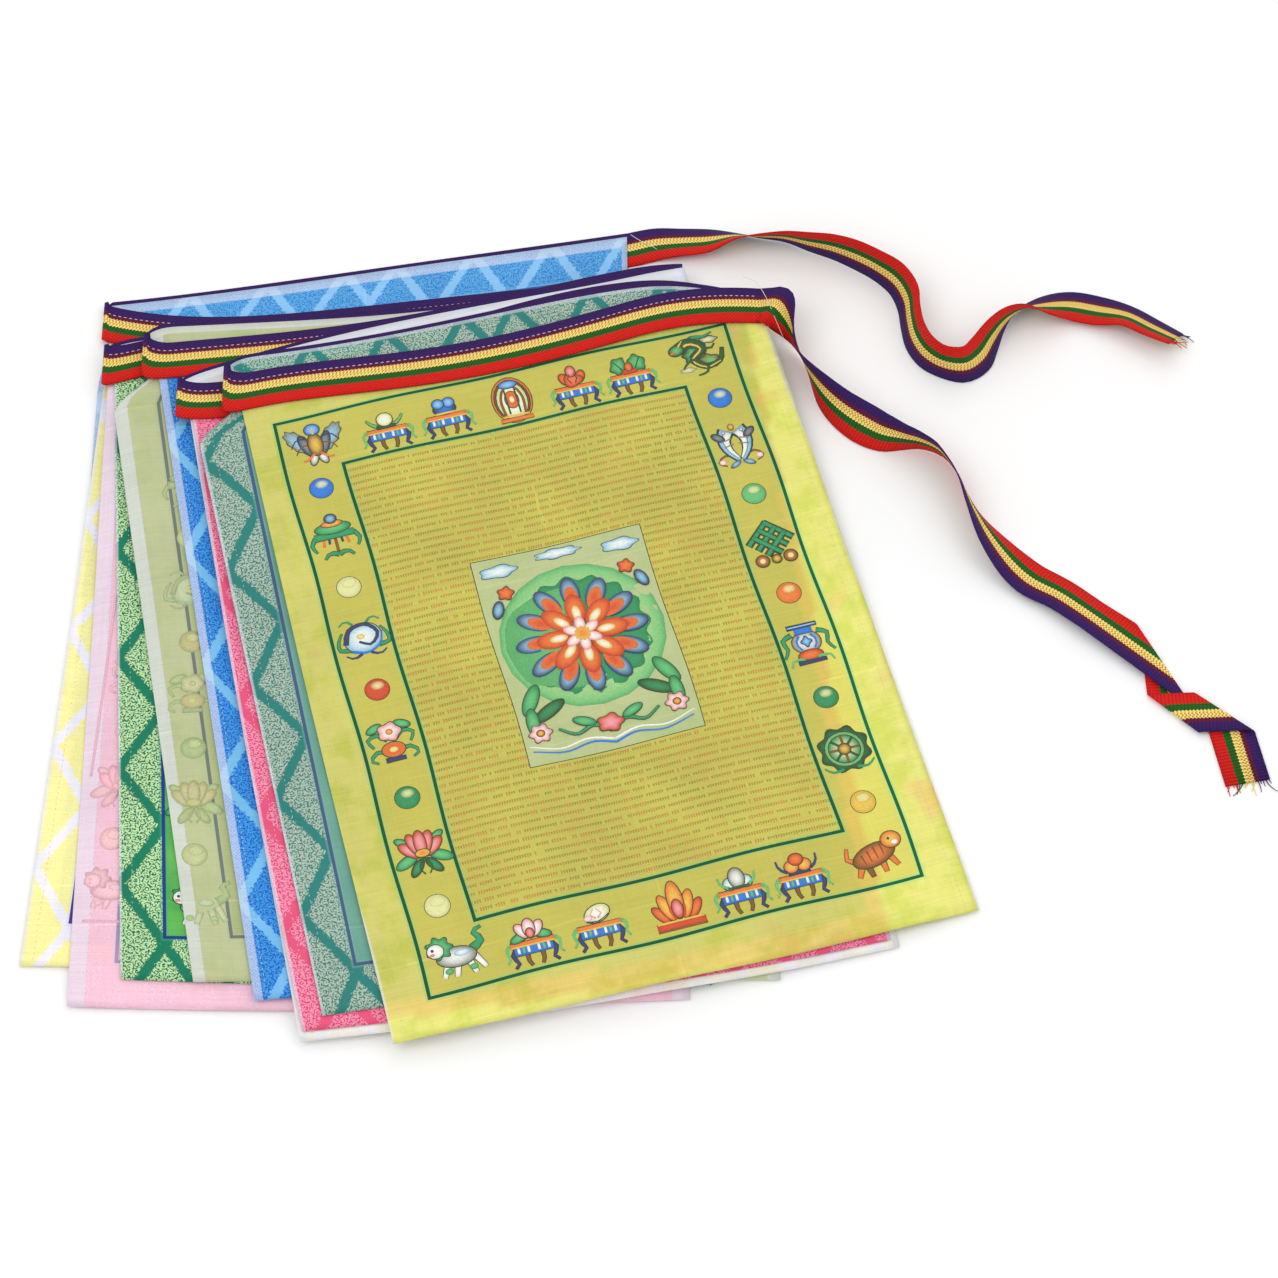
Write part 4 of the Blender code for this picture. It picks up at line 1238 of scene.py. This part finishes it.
def smooth_path(table, step):
    """A table's rows joined by cubic Hermite curves, at even steps along the ground."""
    rows = np.array(table, float)
    knots = distance_along(rows[:, :2])
    s = np.linspace(0.0, knots[-1], max(2, int(round(knots[-1] / step)) + 1))
    slope = np.gradient(rows, knots, axis=0)
    i = np.clip(np.searchsorted(knots, s, side="right") - 1, 0, len(knots) - 2)
    span = (knots[i + 1] - knots[i])[:, None]
    t = (s - knots[i])[:, None] / span
    start = (2 * t ** 3 - 3 * t ** 2 + 1) * rows[i] + (t ** 3 - 2 * t ** 2 + t) * span * slope[i]
    end = (3 * t ** 2 - 2 * t ** 3) * rows[i + 1] + (t ** 3 - t ** 2) * span * slope[i + 1]
    return start + end


def tail_edges(table, start):
    """A loose end's two edges: half a tape's width to each side of the path, leaning."""
    x, y, lift, lean = smooth_path([start] + list(table), TAIL_STEP).T
    heading = headings(np.column_stack((x, y)))
    tilt = np.radians(lean)
    half = thick_of("tape_width") / 2
    width = half * np.column_stack((-heading[:, 1] * np.cos(tilt), heading[:, 0] * np.cos(tilt),
                                    np.sin(tilt)))
    centre = np.column_stack((x, y, lift + CAD_THICK / 2 + np.abs(width[:, 2])))
    return centre + width, centre - width


def fold_edges():
    """The flat stretch that folds over itself: the strip rolled about each slanted crease."""
    half = thick_of("tape_width") / 2
    place = Matrix.Translation((*FOLD_START, CAD_THICK / 2 + PITCH))
    place @= Matrix.Rotation(radians(FOLD_HEADING), 4, "Z")
    purple, red = [], []
    for fold in rows_of(FOLD_COLUMNS, FOLDS):
        angle = radians(fold["crease_angle"])
        out = Vector((sin(angle), cos(angle), 0.0))
        foot = Vector((fold["red_side"], half, 0.0))
        radius = fold["depth"] / 2
        axis = foot - Vector((0.0, 0.0, radius))
        way = Vector((-out.y, out.x, 0.0))
        turn = Matrix.Identity(4)
        for step in range(ARC_STEPS + 1):
            bend = pi * step / ARC_STEPS
            turn = Matrix.Translation(axis) @ Matrix.Rotation(bend, 4, way)
            turn @= Matrix.Translation(-axis - out * radius * bend)
            shift = out * radius * bend
            ahead = foot.x + shift.x + shift.y / tan(angle)
            red.append(place @ turn @ Vector((ahead, half, 0.0)))
            purple.append(place @ turn @ Vector((ahead + 2 * half / tan(angle), -half, 0.0)))
        place = place @ turn
    red.append(place @ Vector((FOLD_END, half, 0.0)))
    purple.append(place @ Vector((FOLD_END, -half, 0.0)))
    return [np.array([point[:] for point in edge]) for edge in (purple, red)]


def tape_edges():
    """Both edges of the whole tape, from the front loose end to the back one."""
    first_purple, first_red = run_edges(0)
    centre = (first_purple[-1] + first_red[-1]) / 2
    tail = tail_edges(FRONT_TAIL, (centre[0], centre[1], centre[2] - CAD_THICK / 2, 0.0))
    pieces = [[edge[::-1] for edge in fold_edges()], [edge[:0:-1] for edge in tail]]
    for number in range(len(runs)):
        leftward = number % 2 == 0
        stations = [edge[::-1] if leftward else edge for edge in run_edges(number)]
        pieces.append(stations)
        if number + 1 < len(runs):
            below = [edge[0 if leftward else -1] for edge in run_edges(number + 1)]
            above = [edge[-1] for edge in stations]
            pieces.append(turn_edges(above, below, -1.0 if leftward else 1.0))
    last_purple, last_red = run_edges(len(runs) - 1)
    centre = (last_purple[-1] + last_red[-1]) / 2
    pieces.append([edge[1:] for edge in tail_edges(BACK_TAIL, (centre[0], centre[1], 0.0, 0.0))])
    return [np.vstack([piece[side] for piece in pieces]) for side in (0, 1)]


def add_tape():
    """The tape: straight across from its red edge to its purple one, station by station."""
    purple, red = tape_edges()
    share = np.linspace(0.0, 1.0, 7)
    points = red[:, None] + (purple - red)[:, None] * share[None, :, None]
    runs_of = [distance_along(edge) for edge in (red, purple)]
    along = runs_of[0][:, None] * (1 - share) + runs_of[1][:, None] * share
    width = thick_of("tape_width")
    flat = np.stack((along, np.broadcast_to(share * width, along.shape)), axis=-1)
    tape = make_piece("woven_tape", points.reshape(-1, 3), grid_faces(len(purple), len(share)),
                      tape_finish(), flat.reshape(-1, 2))
    thicken(tape, thick_of("tape_thick"), 0.0)
    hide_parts("tape")
    return tape


def spot_shape(ink, second, x, y, half_x, half_y, turn=0.0, petals=0, depth=0.0):
    """A round or petalled pad: rings of r(a) = 1 + depth cos(petals a), scaled from the
    middle out to the rim and then down its edge. Gives points, lifts, colours and faces."""
    count = max(20, 6 * petals)
    angle = np.arange(count) * 2 * pi / count
    radius = 1.0 + depth * np.cos(petals * angle)
    ring = np.column_stack((half_x * radius * np.cos(angle), half_y * radius * np.sin(angle)))
    inner = max(2, int(max(half_x, half_y) / 4))
    shares = np.concatenate((np.arange(1, inner + 1) / inner, (1.0,)))
    points = np.vstack(((0.0, 0.0), (shares[:, None, None] * ring).reshape(-1, 2)))
    points = turned(points, turn) + np.array((x, y))
    lifts = np.zeros(len(points))
    lifts[-count:] = 1.0
    blend = np.concatenate(((0.0,), np.repeat(shares, count)))[:, None] ** 1.5
    tints = np.array(linear(*INKS[second])) * (1 - blend) + np.array(linear(*INKS[ink])) * blend
    faces = [(0, 1 + k, 1 + (k + 1) % count) for k in range(count)]
    quads = grid_faces(len(shares), count, closed=True)[:, ::-1] + 1
    faces += [tuple(quad) for quad in quads.tolist()]
    faces.append(tuple(range(len(points) - 1, len(points) - 1 - count, -1)))
    return points, lifts, tints, faces


def line_shape(ink, width, end_width, knots):
    """A flat stroke along a smooth path, its width going evenly from one to the other.
    Gives points, lifts, colours and faces."""
    path = smooth_path(knots, 2.5)
    heading = headings(path)
    right = np.column_stack((heading[:, 1], -heading[:, 0]))
    half = np.linspace(width, end_width, len(path)) / 2
    reach = np.array((-1.0, -1.0, 0.0, 1.0, 1.0))
    points = path[:, None] + right[:, None] * (half[:, None] * reach)[..., None]
    lifts = np.tile((1.0, 0.0, 0.0, 0.0, 1.0), len(path))
    tints = np.tile(linear(*INKS[ink]), (len(lifts), 1))
    faces = [tuple(face) for face in grid_faces(len(path), 5, closed=True).tolist()]
    last = 5 * (len(path) - 1)
    faces += [(4, 3, 2, 1, 0), tuple(range(last, last + 5))]
    return points.reshape(-1, 2), lifts, tints, faces


def ornament_parts(rows):
    """The spots and lines of one ornament, mirrored ones twice, the broader ones on a dark
    outline."""
    parts = []
    for kind, *values in rows:
        for side in (1, -1) if kind.endswith("s") else (1,):
            if kind.startswith("spot"):
                ink, second, x, y, half_x, half_y = values[:6]
                turn, petals, depth = (values[6:] + [0, 0, 0])[:3]
                shape = (turn * side, petals, depth)
                if OUTLINED < min(half_x, half_y) < BROADEST:
                    parts.append(spot_shape("edge", "edge", x * side, y, half_x + OUTLINE,
                                            half_y + OUTLINE, *shape))
                parts.append(spot_shape(ink, second, x * side, y, half_x, half_y, *shape))
            else:
                ink, width, end_width, knots = values
                path = [(x * side, y) for x, y in knots]
                if width > OUTLINED:
                    parts.append(line_shape("edge", width + 2 * OUTLINE, end_width + OUTLINE, path))
                parts.append(line_shape(ink, width, end_width, path))
    return parts


def ball_parts(ink):
    """A shaded ball: a dark rim, its colour, and a pale glow above the middle."""
    return [spot_shape("edge", "edge", 0, 0, BALL + 0.3, BALL + 0.3),
            spot_shape(ink, ink, 0, 0, BALL, BALL), spot_shape(ink, "pale", 0.6, 2.2, 3.8, 2.8)]


def rosette_parts():
    """Rings of petals, evenly turned about the panel's middle."""
    parts = []
    for ring in rows_of(ROSETTE_COLUMNS, ROSETTES):
        for turn in np.arange(ring["count"]) * 360.0 / ring["count"]:
            x, y = -ring["reach"] * sin(radians(turn)), ring["reach"] * cos(radians(turn)) + 6
            parts.append(spot_shape(ring["ink"], ring["second"], x, y, ring["half_x"], ring["half_y"], turn))
    return parts + [spot_shape("gold", "orange", 0, 6, 4, 4, 0, 12, 0.08)]


def print_parts():
    """Every ornament's parts with its place on the print."""
    placed = []
    for name, x, y in TOP_ROW + BOTTOM_ROW:
        table = TABLE if name in ON_TABLE else ()
        placed.append((ornament_parts(table + ORNAMENTS[name]), x, y, ORNAMENT_SCALE))
    for side, balls, signs in ((-SIDE, LEFT_BALLS, LEFT_SIDE), (SIDE, RIGHT_BALLS, RIGHT_SIDE)):
        placed += [(ball_parts(ink), side, y, 1.0) for ink, y in balls]
        placed += [(ornament_parts(ORNAMENTS[name]), side, y, ORNAMENT_SCALE) for name, y in signs]
    placed.append((ornament_parts(ORNAMENTS["panel"]) + rosette_parts(), 0.0, -PICTURE_DROP, 1.0))
    return placed


def place_on_flag(number, carrier, spot, lift):
    """Points for a flag's print coordinates, at the height of the flag that carries them."""
    u, v = np.linspace(0.0, 1.0, 57), np.linspace(0.0, 1.0, 77)
    plan = flag_place(number, u, v)
    i = np.clip(spot[:, 0] / thick_of("cloth_width") + 0.5, 0.0, 0.999) * (len(u) - 1)
    j = np.clip(spot[:, 1] / thick_of("cloth_height") + 0.5, 0.0, 0.999) * (len(v) - 1)
    x, y = blend_grid(plan[..., 0], i, j), blend_grid(plan[..., 1], i, j)
    return np.column_stack((x, y, cloth_top(carrier, x, y) + lift))


def add_print(number, carrier, fade, side):
    """A flag's ornaments as one mesh of thin pads of ink: all of them on the front flag, and
    on another those of one side. What shows through the flag above lies on that flag,
    inside its outline, faded into its colour."""
    ground = np.array(cloth_inks(carrier)["band"])
    placed = [part for part in print_parts() if not side or part[1] * side > SIDE - 10.0]
    if number != carrier:
        placed.append(([line_shape("navy", 1.4, 1.4, path) for path in SHOWN_FRAME], 0.0, 0.0, 1.0))
    border = outline(carrier)
    sets, tints = [], []
    for parts, x, y, scale in placed:
        for layer, (points, sunk, colours, faces) in enumerate(parts):
            lift = np.where(sunk > 0, INK_SUNK, INK_LIFT + INK_LAYER * layer)
            spot = points * scale + np.array((x, y))
            if number:
                spot = place_on_flag(number, carrier, spot, lift)
            else:
                spot = place_from_print(spot, lift)
            if edge_gaps(spot[:, :2], border)[1].all():
                sets.append((spot, faces))
                tints.append(colours * (1.0 - fade) + ground * fade)
    points, faces = join_sets(sets)
    make_piece("printed_ornaments_%02d_%02d" % (number + 1, carrier + 1), points, faces,
               ink_finish(), tints={"ink": np.vstack(tints)})


def stitch_shape():
    """A stitch along x, from -0.5 to 0.5: four round sections of a flattened thread."""
    along = np.array((-0.5, -0.25, 0.25, 0.5))
    swell = np.array((0.2, 1.0, 1.0, 0.2))
    angle = np.arange(6) * pi / 3
    points = np.stack((np.broadcast_to(along[:, None], (4, 6)),
                       swell[:, None] * np.cos(angle), swell[:, None] * np.sin(angle)), axis=-1)
    faces = [tuple(face) for face in grid_faces(4, 6, closed=True).tolist()]
    faces += [tuple(range(5, -1, -1)), tuple(range(18, 24))]
    return points.reshape(-1, 3), faces


def stitch_line(places, stitch, radius):
    """Stitches at the places of a path, along it, as one set of points and faces."""
    shape, faces = stitch_shape()
    heading = headings(places)
    side, up = square_to(heading)
    points = (places[:, None] + heading[:, None] * shape[None, :, :1] * stitch
              + side[:, None] * shape[None, :, 1:2] * radius + up[:, None] * shape[None, :, 2:] * radius)
    count = len(shape)
    every = [tuple(index + count * copy for index in face)
             for copy in range(len(places)) for face in faces]
    return points.reshape(-1, 3), every


def join_sets(sets):
    """Several sets of points and faces as one."""
    points, faces, start = [], [], 0
    for part, part_faces in sets:
        points.append(part)
        faces += [tuple(index + start for index in face) for face in part_faces]
        start += len(part)
    return np.vstack(points), faces


def hem_stitches():
    """Rows of stitches along both side hems of every flag."""
    sets = []
    step, stitch, thick = HEM_STITCH
    for number, flag in enumerate(flags):
        inset = max(flag["hem"], HEM_SEAM) / thick_of("cloth_width")
        v = np.linspace(0.01, 0.985, int(thick_of("cloth_height") / step))
        plan = flag_place(number, np.array((0.0, inset, 1.0 - inset, 1.0)), v)
        for column in (1, 2):
            x, y = plan[:, column, 0], plan[:, column, 1]
            line = np.column_stack((x, y, cloth_top(number, x, y)))
            sets.append(stitch_line(line, stitch, thick))
    return join_sets(sets)


def tape_stitches():
    """One row of stitches along each run of tape that lies over its cloth."""
    sets = []
    step, thick = TAPE_STITCH
    for number, flag in enumerate(flags):
        if flag["face"] == "down":
            continue
        purple, red = run_edges(number)
        line = purple * (1.0 - TAPE_SEAM) + red * TAPE_SEAM
        line[:, 2] += thick_of("tape_thick") / 2
        run = distance_along(line)
        s = np.arange(2.0, run[-1] - 2.0, step)
        places = np.column_stack([np.interp(s, run, line[:, axis]) for axis in range(3)])
        sets.append(stitch_line(places, thick_of("stitch"), thick))
    return join_sets(sets)


def tube_shape(path, radius):
    """A thin round thread of five sides along a path, thinner at its far end."""
    side, up = square_to(headings(path))
    angle = np.arange(5) * 2 * pi / 5
    thick = (radius * np.linspace(1.0, 0.6, len(path)))[:, None, None]
    rings = side[:, None] * np.cos(angle)[:, None] + up[:, None] * np.sin(angle)[:, None]
    points = (path[:, None] + rings * thick).reshape(-1, 3)
    faces = [tuple(face) for face in grid_faces(len(path), 5, closed=True).tolist()]
    last = 5 * (len(path) - 1)
    return points, faces + [(4, 3, 2, 1, 0), tuple(range(last, last + 5))]


def stripe_colour(across):
    """The tape's colour at a distance from its red edge."""
    colours = bpy.context.scene.flag_colours
    names = [name for name, start in STRIPES if across >= start]
    return tuple(getattr(colours, names[-1]))


def add_frays():
    """Yarn ends at both cut ends of the tape: they run on from it by chance lengths, curl
    aside with the square of the way, and sink to the floor."""
    rng = np.random.default_rng(FRAY_SEED)
    purple, red = tape_edges()
    sets, tints = [], []
    for end, before in ((0, 1), (-1, -2)):
        out = (purple[end] + red[end] - purple[before] - red[before]) / 2
        out /= np.linalg.norm(out)
        aside = np.cross((0.0, 0.0, 1.0), out)
        for share in (np.arange(FRAY_COUNT) + 0.5) / FRAY_COUNT:
            root = red[end] + (purple[end] - red[end]) * share - out
            s = np.linspace(0.0, 1.0, 8)[:, None]
            reach, swing, curl = rng.uniform(*FRAY_LENGTH), rng.normal(0.0, 0.3), rng.normal(0.0, 0.35)
            path = root + reach * (out * s + aside * (swing * s + curl * s ** 2))
            path[:, 2] = np.maximum(path[:, 2] - reach * 0.25 * s[:, 0] ** 2, FRAY_THICK)
            points, faces = tube_shape(path, FRAY_THICK)
            sets.append((points, faces))
            tints.append(np.tile(stripe_colour(share * TAPE_WIDE), (len(points), 1)))
    for thread in THREADS:
        points, faces = tube_shape(smooth_path(thread, 2.0), THREAD_THICK)
        sets.append((points, faces))
        tints.append(np.tile(linear(240, 232, 228), (len(points), 1)))
    points, faces = join_sets(sets)
    make_piece("frayed_yarns", points, faces, fray_finish(), tints={"ink": np.vstack(tints)})


class OBJECT_OT_flag_cloths(bpy.types.Operator):
    """Make the cloth of the ten flags"""
    bl_idname = "object.flag_cloths"
    bl_label = "Cloths"

    def execute(self, context):
        for number in range(len(flags)):
            add_flag(number, CLOTH_STEP if number else FRONT_STEP)
        return {"FINISHED"}


class OBJECT_OT_flag_tape(bpy.types.Operator):
    """Make the woven tape, folded to and fro with two loose ends"""
    bl_idname = "object.flag_tape"
    bl_label = "Tape"

    def execute(self, context):
        add_tape()
        return {"FINISHED"}


class OBJECT_OT_flag_stitches(bpy.types.Operator):
    """Make the stitches of the hems and of the tape"""
    bl_idname = "object.flag_stitches"
    bl_label = "Stitches"

    def execute(self, context):
        thread = thread_finish()
        for name, work in (("hem_stitches", hem_stitches), ("tape_stitches", tape_stitches)):
            points, faces = work()
            make_piece(name, points, faces, thread)
        return {"FINISHED"}


class OBJECT_OT_flag_print(bpy.types.Operator):
    """Make the small ornaments and the panel printed on the flags, where they show"""
    bl_idname = "object.flag_print"
    bl_label = "Print"

    def execute(self, context):
        for shown in rows_of(SHOWN_COLUMNS, SHOWN):
            add_print(**shown)
        return {"FINISHED"}


class OBJECT_OT_flag_frays(bpy.types.Operator):
    """Make the frayed yarn ends of the tape and the loose sewing threads"""
    bl_idname = "object.flag_frays"
    bl_label = "Frays"

    def execute(self, context):
        add_frays()
        return {"FINISHED"}


class OBJECT_OT_flag_stage(bpy.types.Operator):
    """Set the floor, the soft lights and the camera"""
    bl_idname = "object.flag_stage"
    bl_label = "Stage"

    def execute(self, context):
        scene = context.scene
        finish, w, shader = new_finish("pale_floor", 0.9)
        spot = w.node("ShaderNodeTexCoord").outputs["Object"]
        w.feed(shader.inputs["Base Color"],
               w.mix(w.noise(spot, 3.0), linear(243, 243, 243), linear(248, 248, 248)))
        mesh = bpy.data.meshes.new("floor")
        reach = np.linspace(-FLOOR_REACH, FLOOR_REACH, 5)
        x, y = np.meshgrid(reach, reach)
        points = np.column_stack((x.ravel(), y.ravel(), np.full(x.size, -FLOOR_DROP)))
        mesh.from_pydata(points.tolist(), [], grid_faces(5, 5).tolist())
        mesh.materials.append(finish)
        floor = bpy.data.objects.new("floor", mesh)
        scene.collection.objects.link(floor)
        world = bpy.data.worlds.new("studio")
        world.use_nodes = True
        world.node_tree.nodes["Background"].inputs["Color"].default_value = (1.0, 1.0, 1.0, 1.0)
        world.node_tree.nodes["Background"].inputs["Strength"].default_value = SKY
        scene.world = world
        for name, spot, size, power in LAMPS:
            lamp = bpy.data.lights.new(name, "AREA")
            lamp.size = size
            lamp.energy = power
            holder = bpy.data.objects.new(name, lamp)
            holder.location = spot
            holder.rotation_euler = (-Vector(spot)).to_track_quat("-Z", "Y").to_euler()
            scene.collection.objects.link(holder)
        camera = bpy.data.objects.new("camera", bpy.data.cameras.new("camera"))
        camera.location = Vector(CAMERA) * MM
        camera.rotation_euler = (radians(CAMERA_TILT), 0.0, 0.0)
        camera.data.lens = CAMERA_LENS
        camera.data.sensor_width = SENSOR
        camera.data.clip_start = 0.05
        scene.collection.objects.link(camera)
        scene.camera = camera
        scene.view_settings.view_transform = "Standard"
        return {"FINISHED"}


class VIEW3D_PT_flags(bpy.types.Panel):
    """Sizes, colours and the steps that make the flags"""
    bl_label = "Folded prayer flags"
    bl_idname = "VIEW3D_PT_flags"
    bl_space_type = "VIEW_3D"
    bl_region_type = "UI"
    bl_category = "Flags"

    def draw(self, context):
        column = self.layout.column()
        for step in STEPS:
            column.operator(step.bl_idname)
        for group in (context.scene.flag_sizes, context.scene.flag_colours):
            for name in group.__annotations__:
                column.prop(group, name)


STEPS = (OBJECT_OT_flag_stage, OBJECT_OT_flag_cloths, OBJECT_OT_flag_tape,
         OBJECT_OT_flag_print, OBJECT_OT_flag_stitches, OBJECT_OT_flag_frays)
CLASSES = (FlagSizes, FlagColours) + STEPS + (VIEW3D_PT_flags,)

runs = rows_of(RUN_COLUMNS, RUNS)
flags = rows_of(FLAG_COLUMNS, FLAGS)
lattice_x = np.arange(LATTICE_X[0], LATTICE_X[1] + 1.0, LATTICE)
lattice_y = np.arange(LATTICE_Y[0], LATTICE_Y[1] + 1.0, LATTICE)
grid_x, grid_y = np.meshgrid(lattice_x, lattice_y)
heights = stack_heights()


def register():
    for cls in CLASSES:
        bpy.utils.register_class(cls)
    bpy.types.Scene.flag_sizes = PointerProperty(type=FlagSizes)
    bpy.types.Scene.flag_colours = PointerProperty(type=FlagColours)


def unregister():
    del bpy.types.Scene.flag_colours
    del bpy.types.Scene.flag_sizes
    for cls in reversed(CLASSES):
        bpy.utils.unregister_class(cls)


def main():
    """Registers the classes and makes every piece."""
    register()
    for step in STEPS:
        area, name = step.bl_idname.split(".")
        getattr(getattr(bpy.ops, area), name)()


if __name__ == "__main__":
    main()
